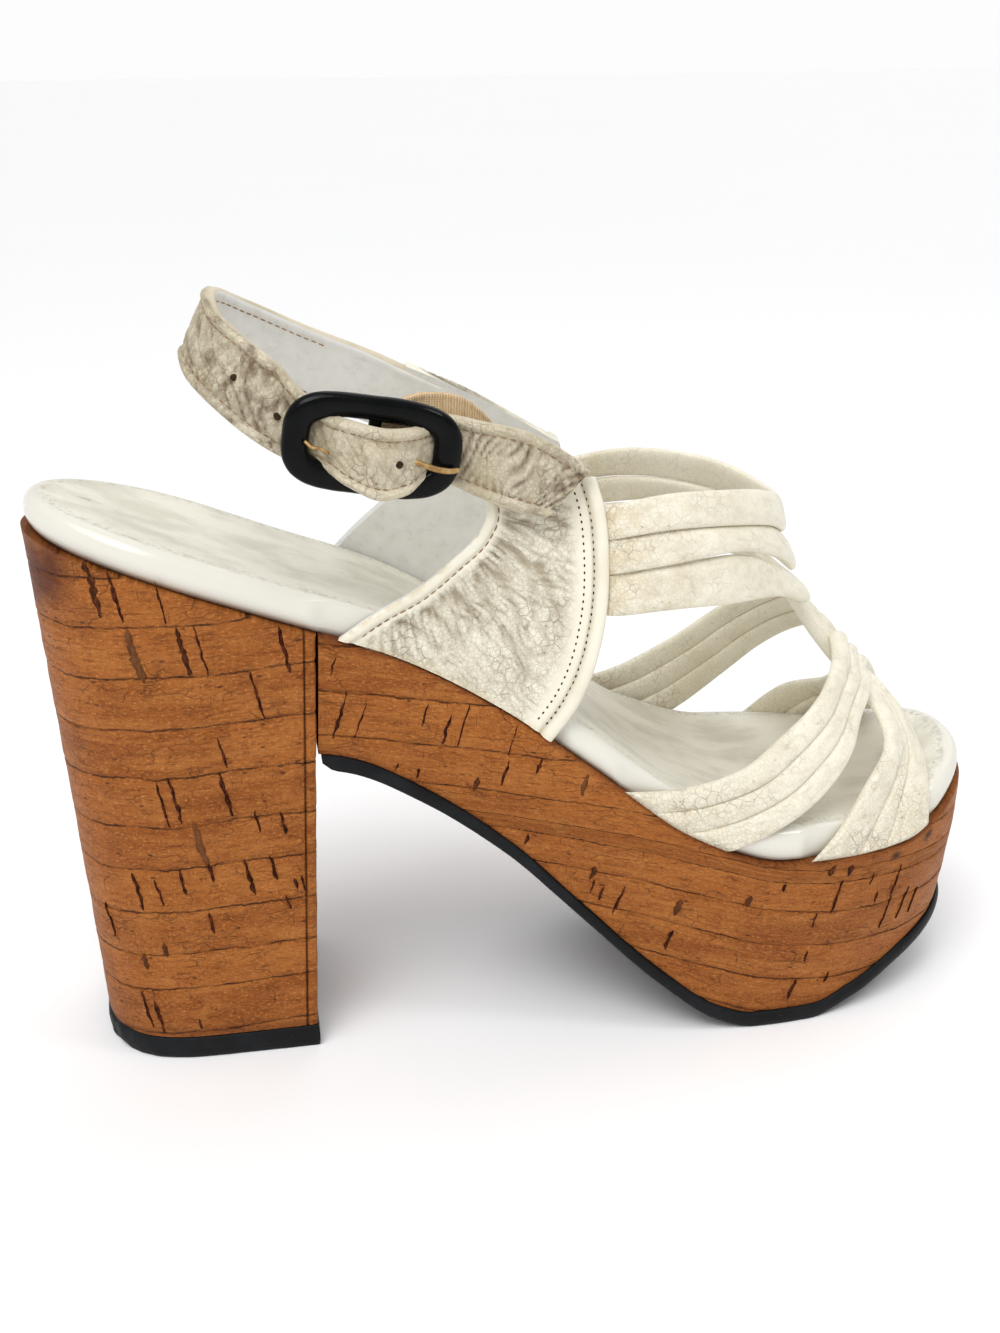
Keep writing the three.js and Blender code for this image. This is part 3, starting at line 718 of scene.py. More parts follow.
def heel_block():
    rows, front, corner, seam = 190, 44, 2.0, 2.9
    share = np.linspace(0, 1, rows)[:, None]
    back = 1 - np.cos(np.pi * np.linspace(0, 1, 92) / 2)
    u = np.concatenate([back[back < 0.9], np.linspace(0.9, 1, 30)])
    lateral = heel_point(u[None, ::-1], share, LATERAL)
    medial = heel_point(u[None, 1:], share, MEDIAL)
    p = np.concatenate([lateral, medial, bridge(medial[:, -1:], lateral[:, :1], front)], 1)
    # the two front corners are rounded off
    inside = HEEL_BREAST + (HEEL_SEAM_TOP - HEEL_BREAST) * share - p[..., 0]
    half_here = np.abs(lateral[:, :1, 1])
    near_front = np.clip(1 - inside / corner, 0, 1)
    near_side = np.clip(1 - (half_here - np.abs(p[..., 1])) / corner, 0, 1)
    over = np.hypot(near_front, near_side)
    squeeze = np.where(over > 1, (over - 1) * corner * 0.7, 0)
    p[..., 0] -= squeeze * near_front / np.maximum(over, 1e-6)
    p[..., 1] -= np.sign(p[..., 1]) * squeeze * near_side / np.maximum(over, 1e-6)
    along = run_length(p[rows // 2])
    strip = heel_strip(p[..., 0], p[..., 2])
    normal = facing(outward_of(p), p, HEEL_CENTRE) * [1, 1, 0]
    on_side = (np.abs(p[..., 1]) > half_here - 1.2) | (inside > 4)
    groove = bell(inside - seam, 0.24) * on_side * (inside < 6)
    p = p + normal * (strip_relief(strip, along[None, :]) - 0.55 * groove - 0.12)[..., None]
    # a smooth dark patch at the top of the heel's back
    patch = bell(np.hypot((p[..., 0] - 4) / 1.0, (p[..., 2] - 128) / 1.1), 9.5)
    patch = np.clip(patch * 1.5 + 0.4 * noise(p, 5, 4) - 0.2, 0, 1)
    patch = patch * np.clip((12 - p[..., 1]) / 14, 0, 1)
    low_edge = bell(p[..., 2] - 7, 1.6) * 0.5

    def lidded(values):
        return np.concatenate([values, values[-1:], values[-1:]])
    p, strip = lidded(p), lidded(strip)
    p[-2, :, 1] *= 0.5
    p[-1, :, 1] *= 0.01
    builder = Builder()
    builder.grid(p, u=strip * 0 + along[None, :], v=strip * 10, wrap_v=True, caps=True,
                 stain=lidded(np.clip(patch * 0.85 + low_edge, 0, 1)),
                 dark=lidded(np.clip(groove * 0.85, 0, 1)))
    return builder.build("heel_block_cork", [cork], ["heel_block"], sharp_angle=50)


def wall_inset(rise):
    """Inset of the platform's wall, for a rise from the rubber (0) to the top edge (1)."""
    return np.interp(rise, [0, 0.25, 0.62, 0.9, 1], [OUTSOLE_INSET, 1.9, 0.4, 0.05, 0])


def sole_bottom(x):
    return underside(x) + OUTSOLE_THICKNESS + 0.2


def platform_body():
    rows, across = 84, 10
    x = even_stations(HEEL_SEAM_TOP + 0.3, SOLE_LENGTH, 0.95)
    rise = np.linspace(0, 1, rows)
    z = sole_bottom(x)[:, None] + (feather(x) - 0.1 - sole_bottom(x))[:, None] * rise[None, :]
    px = np.repeat(x[:, None], rows, 1)
    strip = platform_strip(px, z)
    edge = 0.9 * (1 - np.sqrt(1 - np.clip((rise - 0.975) / 0.025, 0, 1) ** 2))
    back = HEEL_BREAST + (HEEL_SEAM_TOP - HEEL_BREAST) * (z[0] - TOP_PIECE) / 106.0
    spans = (np.zeros(rows), np.linspace(0, 60, across))
    sides, runs = [], []
    for side in (LATERAL, MEDIAL):
        run = run_length(np.stack([x, half_width(x, side)], 1))[:, None]
        relief = strip_relief(strip, run + 40 * (side + 1))
        ox, oy = outline(px, side, wall_inset(rise)[None, :] - relief + edge[None, :] + 0.1)
        ox[0] = back + 0.3
        sides.append(np.stack([ox, oy, z], -1))
        runs += [run + 300 * (side + 1) + span for span in spans]
    p, run = ring_round(*sides, across), np.concatenate(runs, 1)
    flat = np.ones((1, across))
    strip = np.concatenate([strip, strip[:, -1:] * flat, strip[:, ::-1], strip[:, :1] * flat], 1)
    # dirt under the top edge, and two dark marks on the narrow strip near the toe
    px, pz = p[..., 0], p[..., 2]
    under_edge = bell(pz - feather(px), 0.9) * 0.55
    marks = bell(px - 211, 1.6) * bell(pz - feather(px) + 2.6, 1.2)
    marks += bell(px - 222, 1.3) * bell(pz - feather(px) + 2.4, 1.2)
    near_rubber = bell(pz - sole_bottom(px), 1.3) * 0.35
    builder = Builder()
    builder.grid(p, u=run, v=np.concatenate([strip, strip[:, :1]], 1) * 10, wrap_v=True, caps=True,
                 stain=np.clip(under_edge + near_rubber, 0, 1), dark=np.clip(marks, 0, 0.9))
    return builder.build("platform_cork", [cork], ["platform"], sharp_angle=50)


def heel_place(x, z, side):
    """The heel's surface at x and z, for cracks laid out in side view."""
    share = (z - HEEL_BASE) / (feather(x) - 0.3 - HEEL_BASE)
    for _ in range(4):
        u = (x - HEEL_BACK * (1 - share)) / (
            (HEEL_BREAST - HEEL_BACK) * (1 - share) + HEEL_SEAM_TOP * share)
        share = (z - HEEL_BASE) / (feather(HEEL_SEAM_TOP * u) - 0.3 - HEEL_BASE)
    return heel_point(np.clip(u, 0, 1), share, side)


def platform_place(x, z, side):
    rise = (z - sole_bottom(x)) / (feather(x) - sole_bottom(x))
    ox, oy = outline(np.asarray(x, float), side, wall_inset(rise))
    return np.stack([ox, oy, z + 0 * x], -1)


# Cracks in the cork on the lateral side: x, z, length, width, tone (1 is a paler brown).
HEEL_CRACKS = [
    (17, 126, 14, 2.4, 0.1), (22, 124, 12, 1.2, 0), (32, 123, 10, 0.7, 0),
    (25, 110, 13, 3.0, 0.55), (36, 111, 12, 2.1, 0.1), (40, 111, 12, 0.7, 0),
    (59, 110, 12, 1.5, 0), (52, 99, 12, 1, 0), (43, 85, 8, 0.7, 0), (28, 72, 12, 0.7, 0),
    (31, 73, 12, 1.2, 0), (43, 74, 12, 1.3, 0), (50, 66, 6, 0.7, 0), (56, 65, 6, 1, 0),
    (36, 61, 12, 2.4, 0.6), (38, 53, 5, 1, 0), (20, 48, 10, 1, 0), (25, 48, 7, 0.6, 0),
    (31, 51, 7, 1, 0), (47, 51, 10, 1.5, 0), (53, 53, 7, 1.2, 0), (58, 48, 3, 0.8, 0),
    (60, 48, 4, 0.8, 0), (56, 43, 4, 0.5, 0), (12, 38, 9, 0.5, 0), (37, 39, 6, 1, 0),
    (25, 32, 4, 1.5, 0.3), (20, 28, 4, 1.5, 0.3), (19, 14, 10, 0.7, 0), (22, 12, 9, 1.2, 0),
    (32, 10, 3, 0.6, 0)]
PLATFORM_CRACKS = [
    (70, 105, 5, 1.4, 0.1), (71, 92, 13, 1.1, 0), (76, 91, 11, 0.5, 0), (91, 91, 6, 0.6, 0),
    (96, 87, 8, 1.2, 0), (100, 88, 11, 0.5, 0), (112, 84, 8, 0.4, 0), (84, 77, 2, 1, 0),
    (89, 75, 3, 1, 0), (103, 72, 4, 2, 0.2), (110, 75, 7, 0.8, 0), (118, 77, 4, 1.2, 0),
    (129, 72, 6, 1.7, 0.5), (115, 56, 3, 1.2, 0), (131, 47, 4, 1.5, 0.2), (131, 43, 4, 0.5, 0),
    (133, 41, 4, 0.7, 0), (137, 38, 6, 0.7, 0), (152, 38, 5, 2.1, 0.3), (150, 28, 6, 1.5, 0),
    (138, 40, 7, 0.5, 0), (170, 39, 3, 2.3, 0.3), (179, 42, 2, 1, 0), (194, 37, 9, 1, 0),
    (192, 45, 3, 2.2, 0.1), (197, 44, 3, 2.2, 0.1), (204, 40, 3, 0.5, 0), (206, 34, 3, 1, 0),
    (212, 37, 9, 0.7, 0), (210, 28, 9, 0.6, 0), (216, 29, 9, 0.7, 0), (220, 28, 7, 0.6, 0),
    (187, 20, 3, 0.7, 0), (184, 10, 6, 1.2, 0), (194, 12, 3, 0.7, 0), (188, 31, 4, 0.5, 0)]


def add_crack(builder, place, side, crack, lean, centre, seed):
    x, z, length, width, tone = crack
    n = max(6, int(length / 0.55))
    t = np.linspace(-1, 1, n)
    wobble = flat_noise(11, t * length / 3.2, seed * 1.7)
    swell = flat_noise(12, t * length / 1.5, seed * 2.9)
    cz = z + t * length / 2
    cx = x + lean * t * length / 2 + 0.3 * wobble
    half = 0.33 * width * np.clip(1 - t ** 4, 0, 1) ** 0.6 * (0.85 + 0.6 * swell) + 0.06
    mid = place(cx, cz, side)
    left, right = place(cx - half, cz, side), place(cx + half, cz, side)
    normal = facing(outward_of(np.stack([left, mid, right], 1))[:, 1], mid, centre)
    ring = np.stack([left - normal * 0.25, mid - normal * 0.5, right - normal * 0.25,
                     right + normal * 0.02, mid + normal * 0.13, left + normal * 0.02], 1)
    builder.grid(ring, wrap_v=True, caps=True, tone=tone)


def cork_cracks():
    builder = Builder()
    rng = np.random.default_rng(5)
    for i, crack in enumerate(HEEL_CRACKS):
        add_crack(builder, heel_place, LATERAL, crack, -0.2, HEEL_CENTRE, i)
    for i, crack in enumerate(PLATFORM_CRACKS):
        add_crack(builder, platform_place, LATERAL, crack, 0.3, PLATFORM_CENTRE, 40 + i)
    for i in range(46):  # the heel's medial side and back
        z, x = rng.uniform(14, 118), rng.uniform(5, 58)
        size = (x, z, rng.uniform(3, 11), rng.choice([0.5, 0.7, 1.1, 1.6, 2.3]),
                rng.choice([0, 0.3]))
        add_crack(builder, heel_place, MEDIAL, size, -0.2, HEEL_CENTRE, 90 + i)
    for i in range(60):  # the platform's medial side and toe
        x = rng.uniform(72, 234)
        low, high = sole_bottom(x) + 5, feather(x) - 4
        z = rng.uniform(low, high)
        size = (x, z, min(rng.uniform(2, 9), 0.6 * (high - low)), rng.choice([0.5, 0.7, 1.1, 1.8]),
                rng.choice([0, 0.3]))
        add_crack(builder, platform_place, MEDIAL, size, 0.3, PLATFORM_CENTRE, 150 + i)
    return builder.build("cork_cracks", [cork_slot])


# ---------------------------------------------------------------- rubber
def outsole_body():
    x = even_stations(HEEL_SEAM_TOP + 0.3, SOLE_LENGTH, 1.5)
    bend = np.linspace(-1, 1, 11)[None, :]
    edge = OUTSOLE_INSET - 0.9 * np.sqrt(1 - 0.92 * bend ** 2)
    start = (0.55 + 0.45 * np.sqrt(1 - np.clip(1 - (x - x[0]) / 3, 0, 1) ** 2))[:, None]
    z = underside(x)[:, None] + OUTSOLE_THICKNESS * (1 - start / 2)
    z = z + OUTSOLE_THICKNESS / 2 * bend * start
    inset = edge + 0.12 * flat_noise(21, x / 5)[:, None]
    px = np.repeat(x[:, None], bend.size, 1)
    p = ring_round(*(np.stack([*outline(px, side, inset), z], -1) for side in (LATERAL, MEDIAL)), 8)
    p[0, :, 0] -= 0.6
    p[..., 2] = np.maximum(p[..., 2], 0)
    builder = Builder()
    builder.grid(p, wrap_v=True, caps=True)
    return builder.build("outsole_rubber", [rubber], ["outsole"], sharp_angle=60)


def heel_top_piece():
    half, front = 70, 30
    u = 1 - np.cos(np.pi * np.arange(half + 1) / (2 * half))
    ring = np.concatenate([heel_point(u[::-1], 0.0, LATERAL), heel_point(u[1:], 0.0, MEDIAL)])
    ring = np.concatenate([ring, bridge(ring[None, -1:], ring[None, :1], front)[0]])
    centre = np.array([34.0, 0, 0])
    bend = np.linspace(-1, 1, 13)
    rows = []
    for b in bend:
        swell = 0.25 - 0.85 * (1 - math.sqrt(1 - 0.95 * abs(b) ** 3.5))
        direction = unit((ring - centre) * [1, 1, 0])
        wear = noise(ring / 3.0 + [0, 0, b * 1.5], 1, 31)
        chewed = bell(np.hypot(ring[:, 0] - 10, ring[:, 1] + 14), 7)
        moved = ring + direction * (swell + 0.1 * wear + chewed * (0.7 * wear - 0.3))[:, None]
        moved[:, 0] = np.minimum(moved[:, 0], HEEL_BREAST + 0.3)
        moved[:, 2] = (b + 1) / 2 * TOP_PIECE
        rows.append(moved)
    p = np.stack(rows)
    bottom = centre + (p[:1] - centre) * 0.5
    top = centre + (p[-1:] - centre) * 0.5
    bottom[..., 2], top[..., 2] = 0, TOP_PIECE
    builder = Builder()
    builder.grid(np.concatenate([bottom, p, top]), wrap_v=True, caps=True)
    return builder.build("heel_top_rubber", [rubber], ["heel_top_piece"], sharp_angle=60)


# ---------------------------------------------------------------- insole
STRAP_ZONES = [(66, 125), (137, 167), (184, 226)]  # where the straps go down past the insole
INSOLE_SECTION = np.array([  # inset, height, matt top, wear; from the middle of the top to the base
    (16, 8.5, 1, 0), (12, 8.6, 1, 0), (9, 8.75, 1, 0), (7.2, 8.9, 1, 0.5), (6.2, 8.88, 1, 1),
    (5.6, 8.75, 0.9, 1), (5.0, 8.85, 0.4, 1), (4.2, 8.75, 0.1, 0.5), (3.2, 8.35, 0, 0),
    (2.3, 7.6, 0, 0), (1.6, 6.6, 0, 0), (1.15, 5.4, 0, 0), (0.95, 4.2, 0, 0), (1.0, 3.0, 0, 0),
    (1.4, 1.8, 0, 0), (2.2, 0.6, 0, 0), (3.2, -0.25, 0, 0.3)])


def insole_body():
    across = 14
    x = even_stations(0, SOLE_LENGTH, 1.3)
    held = np.zeros_like(x)
    for start, end in STRAP_ZONES:
        zone = 1 / (1 + np.exp(-(x - start) / 1.2)) / (1 + np.exp((x - end) / 1.2))
        held = np.maximum(held, zone)
    inset, height, top, wear = INSOLE_SECTION.T
    px = np.repeat(x[:, None], len(inset), 1)
    tight = np.maximum(inset[None, :] + 0.15, 3.15 * held[:, None] + 0.25 * (inset[None, :] - 0.95))
    sides = []
    for side in (LATERAL, MEDIAL):
        wave = 0.12 * flat_noise(41, px / 14, height / 5 + side * 9)
        ox, oy = outline(px, side, tight - wave * (1 - held)[:, None])
        uneven = flat_noise(42, ox / 26, oy / 26) * top[None, :]
        z = feather(ox) + height[None, :] + 0.3 * uneven
        sides.append(np.stack([ox, oy, z], -1)[:, ::-1])
    p = ring_round(*sides, across)
    t = np.linspace(0, 1, across + 2)[None, 1:-1]
    dip = 0.5 * np.sin(np.pi * t) * np.clip(half_width(x, LATERAL) / 30, 0, 1)[:, None]
    p[:, len(inset):len(inset) + across, 2] -= dip
    p[[0, -1], :, 1] = 0

    def spread(values, middle, below):
        return np.concatenate([values[::-1], np.full(across, middle), values,
                               np.full(across, below)])[None, :]
    builder = Builder()
    builder.grid(p, wrap_v=True, top=spread(top, 1.0, 0.0), wear=spread(wear, 0.0, 0.0),
                 dark=spread(np.where(height < 0.9, 0.5, 0.0), 0.0, 0.5))
    body = builder.build("insole_padded", [insole_leather], ["insole"],
                         merge=True)
    return body


# ---------------------------------------------------------------- quarters
FOOT_CENTRE = (150, 0, 60)
ANKLE_CENTRE = (82, -8, 150)
UPPER_WALL = 2.4
REAR_SEAM = 3.0  # distances of the seams from the quarter's edges
FRONT_SEAMS = (3.6, 6.0)
LATERAL_QUARTER = np.array([  # rear x, rise at the rear, front x, rise at the front
    (71.4, 0, 121, 0), (79.2, 8, 127, 13), (89.4, 18, 131.5, 26.5), (98, 29, 134.6, 42),
    (104.8, 39, 135.6, 55.6), (107.2, 45.7, 135.2, 65), (106, 50.5, 133.4, 71)], float)
MEDIAL_QUARTER = np.array([
    (70, 0, 121, 0), (79, 13, 127, 13), (87, 24, 131.5, 26.5), (93, 33, 134.6, 42),
    (96, 42, 135.6, 55.6), (94.6, 49, 135.2, 65), (94, 65.8, 133.4, 71)], float)
# Main creases of the lateral quarter, in side view: x, z from the rear edge outwards.
QUARTER_CREASES = [
    [(107.5, 142), (110.7, 139.8), (117, 136), (123.8, 131.7)],
    [(107.9, 139), (113.5, 136), (119, 130.2)],
    [(108.2, 133), (113.5, 130.2), (117, 124.4), (118.3, 117)],
    [(106.5, 127.3), (110.7, 122.2), (113.5, 115), (114, 108.3)],
    [(104.4, 124.4), (106.5, 119.3), (108.6, 112.7)],
    [(98.9, 120.8), (102.3, 117), (106.5, 110)],
    [(92.6, 117), (96.8, 113.5), (101.6, 106.9)],
    [(113.5, 142), (119.7, 139), (126, 135)],
    [(85.7, 114.9), (89.8, 112.7), (95.4, 107.6)],
    [(110, 112), (114, 104), (115, 97)],
    [(119, 127), (122, 118), (123, 110)]]


def last_point(x, rise, side):
    share = np.clip(rise / (ridge(x) - feather(x)), 0, 0.98)
    y = (half_width(x, side) - 0.2) * np.sqrt(1 - share ** 1.7)
    return np.stack([x, side * y, feather(x) + 0.3 + rise], -1)


def crease_field(x, z, creases, width):
    """0 to 1, highest along the creases, which fade towards their far ends."""
    total = np.zeros_like(x)
    for line in creases:
        line = np.asarray(line, float)
        dense = curve(line, np.linspace(0, len(line) - 1, 24))
        fade = np.linspace(1, 0.25, len(dense))
        for (a, b), strength in zip(zip(dense[:-1], dense[1:]), fade):
            d = b - a
            t = np.clip(((x - a[0]) * d[0] + (z - a[1]) * d[1]) / (d @ d), 0, 1)
            distance = np.hypot(x - a[0] - t * d[0], z - a[1] - t * d[1])
            total = np.maximum(total, bell(distance, width) * strength)
    return total


def fan_wrinkles(x, z, centre, seed):
    """Fine wrinkles that fan out from a point, with soft ridges between sharp troughs."""
    dx, dz = x - centre[0], z - centre[1]
    radius, angle = np.hypot(dx, dz), np.arctan2(dz, dx)
    turn, out = angle * 22 + 0.6 * flat_noise(seed, x / 9, z / 9) * 2, radius / 10
    drift = flat_noise(seed + 3, x / 6, z / 6)
    patchy = np.clip(0.55 + 0.7 * flat_noise(seed + 4, x / 5, z / 5), 0.1, 1)
    wave = (0.5 - 0.5 * np.cos(2 * np.pi * (angle * 17 + 1.1 * drift))) ** 2.5 * patchy
    return (np.maximum(0.7 * ridges(seed + 1, turn, out), wave),
            ridges(seed + 2, turn * 1.9, out * 2.2))


def quarter_surface(rows, side):
    """Points, normals and edge distances of a quarter's outer face, on a fine grid."""
    level = np.linspace(0, len(rows) - 1, 190)
    edges = curve(rows, level)
    t = np.linspace(0, 1, 110)[None, :]
    x = edges[:, :1] + (edges[:, 2:3] - edges[:, :1]) * t
    rise = edges[:, 1:2] + (edges[:, 3:4] - edges[:, 1:2]) * t
    p = last_point(x, np.maximum(rise, 0), side)
    normal = facing(outward_of(p), p, FOOT_CENTRE)
    rear = np.concatenate([np.zeros((len(p), 1)), np.cumsum(
        np.linalg.norm(np.diff(p, axis=1), axis=2), 1)], 1)
    front = rear[:, -1:] - rear
    # true distances from the slanting edges
    slope = unit(np.gradient(p[:, 0], axis=0))
    across = unit(p[:, 8] - p[:, 0])
    rear = rear * np.sqrt(1 - np.sum(slope * across, 1) ** 2)[:, None]
    return p, normal, rear, front


def quarter(name, rows, side, creases, fan):
    p, normal, rear, front = quarter_surface(rows, side)
    x, z = p[..., 0], p[..., 2]
    main = crease_field(x, z, creases, 1.1)
    wrinkle, fine = fan_wrinkles(x, z, fan, 50)
    reach = np.exp(-np.clip(np.hypot(x - fan[0], z - fan[1]) - 24, 0, None) / 26)
    inner = np.clip((rear - 3.2) / 2, 0, 1) * np.clip((front - 7) / 3, 0, 1)
    low = np.clip((z - feather(x)) / 6, 0, 1)
    relief = -inner * (0.75 * main + 0.8 * reach * wrinkle + 0.32 * fine) * (0.4 + 0.6 * low)
    relief += 0.25 * noise(p, 9, 51) * inner
    binding = np.sqrt(np.clip(1 - ((rear - 1.1) / 1.2) ** 2, 0, 1))
    if side == MEDIAL:  # the sling strap lies over this edge
        binding = binding * np.clip((150 - z) / 4, 0, 1)
    piping = np.sqrt(np.clip(1 - ((front - 1.5) / 1.6) ** 2, 0, 1))
    facing_strip = 0.45 * np.clip((6.8 - front) / 0.6, 0, 1)
    relief += 0.75 * binding + 1.15 * piping + facing_strip
    relief -= 0.35 * bell(rear - REAR_SEAM, 0.4) + 0.5 * bell(front - FRONT_SEAMS[0], 0.45)
    relief -= 0.2 * bell(front - 6.1, 0.35)
    outer = p + normal * relief[..., None]
    ring = np.concatenate([outer, (p - normal * UPPER_WALL)[:, ::-2]], 1)
    # Painted shade: darker along the creases and wrinkles, and along the seams near both edges.
    crease = inner * np.clip(0.7 * main + 0.95 * reach * wrinkle + 0.5 * fine, 0, 1)
    crease += 0.5 * bell(front - FRONT_SEAMS[0], 0.5) + 0.35 * bell(rear - 2.6, 0.35)
    dirt = 0.5 * bell(z - feather(x), 1.5) + 0.5 * bell(rear, 1.0) * (noise(p, 4, 52) > 0.1)

    def both(values):
        """The outer face's values, and none on the lining."""
        return np.pad(values, ((0, 0), (0, ring.shape[1] - values.shape[1])))
    sides = np.where(np.arange(ring.shape[1]) < p.shape[1] - 1, 0, 1)
    builder = Builder()
    builder.grid(ring, wrap_v=True, caps=True, material=sides, crease=both(np.clip(crease, 0, 1)),
                 crackle=both(inner * 0.75), dirt=both(np.clip(dirt, 0, 1)))
    builder.build(name, [upper_leather, lining], ["upper"], sharp_angle=60)
    return outer, normal, rear, front


def along_edge(outer, normal, distance, value):
    """The line on a quarter that keeps one distance from an edge, with its normals."""
    path, normals = [], []
    for i in range(4, len(outer) - 2, 2):
        row = distance[i]
        order = np.argsort(row)
        j = np.interp(value, row[order], order.astype(float))
        a, f = int(j), j - int(j)
        b = min(a + 1, outer.shape[1] - 1)
        path.append(outer[i, a] * (1 - f) + outer[i, b] * f)
        normals.append(normal[i, a])
    return np.array(path), np.array(normals)


# ---------------------------------------------------------------- straps of the upper
# Lines between the instep band's three folds: points from the quarter to the ridge.
INSTEP_LINES = np.array([
    [(130, -28.4, 139.6), (135.1, -27.5, 139.4), (151.7, -26, 141), (165.7, -22, 140),
     (176.8, -15, 137.8), (184.1, -6, 134.5)],
    [(130, -30.2, 131.5), (135.5, -29.9, 131.7), (151.2, -28.6, 132.9), (165.4, -24, 131.8),
     (179.5, -15, 128.5), (185.5, -6, 124)],
    [(130, -32.6, 123.8), (135.5, -32.1, 123.9), (150.8, -31, 125.1), (169.9, -24.5, 124.8),
     (182.2, -15, 118.9), (189.9, -6, 111.8)],
    [(130, -34.4, 114.6), (135.2, -34, 114.3), (150.5, -33, 114.7), (164.6, -29, 113.7),
     (181.3, -19, 111.2), (193.1, -8, 105.2)]])
REAR_VAMP = np.array([  # one edge, then the other, from the cork to the ridge
    (138, -37.9, 69.9, 163.8, -42.2, 53.4), (152.5, -38.5, 69.8, 174.4, -41, 56.6),
    (168.8, -36.5, 72.8, 184.9, -39, 61.6), (180.6, -33, 79.8, 193.1, -35.5, 67.3),
    (188.7, -29, 84.6, 199.2, -30, 72.4), (194.6, -23, 88.1, 203, -24, 77.2),
    (200, -13, 91.2, 209, -14, 80.6), (203.4, 0, 92.6, 212.6, 0, 81.6)])
MEDIAL_REAR_VAMP = np.array([
    (138, 36.6, 69.9, 163.8, 38.8, 53.4), (154, 38, 72.6, 176, 40, 59.4),
    (170, 36, 81, 187, 37.4, 69), (182, 29.6, 92, 196, 31, 79.6),
    (190, 20, 100.6, 202.6, 21.4, 87.6), (191.8, 9, 105.4, 206.4, 11, 91.4),
    (199.6, -1, 96.4, 210, 1.6, 87)])
FRONT_VAMP = np.array([
    (208.6, -8, 83, 216.6, -2, 80.4), (212.4, -17, 75.6, 221.5, -7, 72.8),
    (211.6, -24, 70.4, 224.4, -12.5, 65.4), (203.4, -33.5, 65.2, 223.9, -20.5, 61.2),
    (193, -39.8, 54, 221.8, -28.4, 57.2), (186.6, -41.6, 47.9, 220.6, -32.6, 50.5)])


def other_side(points):
    """Points of the lateral side, carried over to the medial side by the sole's widths."""
    points = np.array(points, float)
    scale = half_width(points[..., 0], MEDIAL) / half_width(points[..., 0], LATERAL)
    points[..., 1] *= -scale
    return points


def instep_band():
    builder = Builder()
    whole = [np.concatenate([line, other_side(line)[::-1]]) for line in INSTEP_LINES]
    for k in range(3):
        band = Band(np.hstack([whole[k], whole[k + 1]]), FOOT_CENTRE)
        ridge_near = np.sin(np.pi * band.share) ** 3
        open_low = -0.01 + 0.14 * ridge_near * (k == 1)
        open_high = -0.01 + 0.12 * ridge_near * (k == 2)
        strip = band.part(open_high, 1 - open_low)
        flat = 1 - 0.5 * np.cos(np.pi * band.share) ** 2
        ends = np.minimum(band.length, band.length[-1] - band.length)
        near = np.exp(-ends / 16)
        hidden = 1 / (1 + np.exp((ends - 5.6) / 0.7))
        fold(builder, strip, (1.2 * flat + 0.9) * (1 - 0.6 * hidden), 1.3 - 0.9 * hidden, 60 + k,
             2.6, -3.8 * hidden, 1.3 * (1 - hidden), 0.2 + 0.8 * near, 0.6 * near)
    return builder.build("instep_folds", [upper_leather])


def vamp_straps():
    """The rear straps cross at the ridge and go on as the front straps of the other side."""
    builder = Builder()
    front_medial = np.hstack([other_side(FRONT_VAMP[:, :3]), other_side(FRONT_VAMP[:, 3:])])
    over = np.concatenate([REAR_VAMP, front_medial])
    under = np.concatenate([MEDIAL_REAR_VAMP, FRONT_VAMP])
    for first_seed, rows, middle, raised in ((70, over, 8.2, 1.2), (73, under, 7.3, -2.2)):
        rows = np.vstack([rows[0] - 0.3 * (rows[1] - rows[0]), rows,
                          rows[-1] + 0.35 * (rows[-1] - rows[-2])])
        band = Band(rows, FOOT_CENTRE)
        base = np.exp(-band.length / 22)
        tip = np.exp(-(band.length[-1] - band.length) / 16)
        worn = np.maximum(base, tip)
        bounds = [np.zeros_like(band.u)]
        for even, at_tip in ((1 / 3, 0.42), (2 / 3, 0.64)):
            bounds.append(even + (at_tip - even) * np.clip((band.u - middle - 1) / 2, 0, 1))
        bounds.append(np.ones_like(band.u))
        for k in range(3):
            strip = band.part(bounds[k] - 0.01, bounds[k + 1] + 0.01)
            tall = np.clip(0.3 * strip.width, 1.3, 2.4) * (1 - 0.5 * base - 0.35 * tip)
            tall = tall + 1.1 * bell(band.u - middle, 1.3)
            fold(builder, strip, tall, 1.2, first_seed + k, 2.4,
                 raised * bell(band.u - middle, 1.0), 0.9 * (1 - base) * (1 - tip),
                 0.25 + 0.7 * worn, 0.25 * worn)
    return builder.build("vamp_folds", [upper_leather])


# ---------------------------------------------------------------- sling strap
SLING = np.array([  # top edge, then bottom edge, of the strap's outer face
    (108, 15.4, 158.5, 108, 20.4, 141), (101, 15.3, 162.4, 101, 20.6, 145),
    (93.4, 15.5, 166.6, 93.9, 21.6, 148.6), (84, 16.6, 171, 84, 21.4, 152.6),
    (71, 14.6, 176.6, 69, 18.6, 159), (56, 7.5, 184.4, 52, 10, 167.4),
    (47.4, -1.5, 189, 40.6, -2, 174.6), (48.4, -12, 185, 41.4, -14, 170.6),
    (54.6, -19.6, 179.8, 48.4, -22, 164), (62, -24.6, 173.6, 57.4, -26, 157),
    (66, -27.6, 168.6, 64, -28.4, 153.6), (70.4, -31.4, 165, 69.2, -31.8, 153),
    (76, -36.4, 163.6, 74.8, -37.2, 149.6), (83, -38.2, 161.8, 81.6, -38.8, 146.6),
    (89, -36.4, 161.2, 87.8, -37.2, 147), (93.6, -31.8, 161, 92.8, -32, 149),
    (98, -28, 162, 97.2, -28.2, 147.4), (106, -28.6, 160.4, 104, -30.4, 144.6),
    (118, -29, 157, 113, -31.6, 141), (131.6, -28.6, 148.4, 120.4, -31.8, 138.6)])
STRAP_WALL = 2.6
STRAP_SEAM = 2.3  # distance of the stitches from the strap's edges


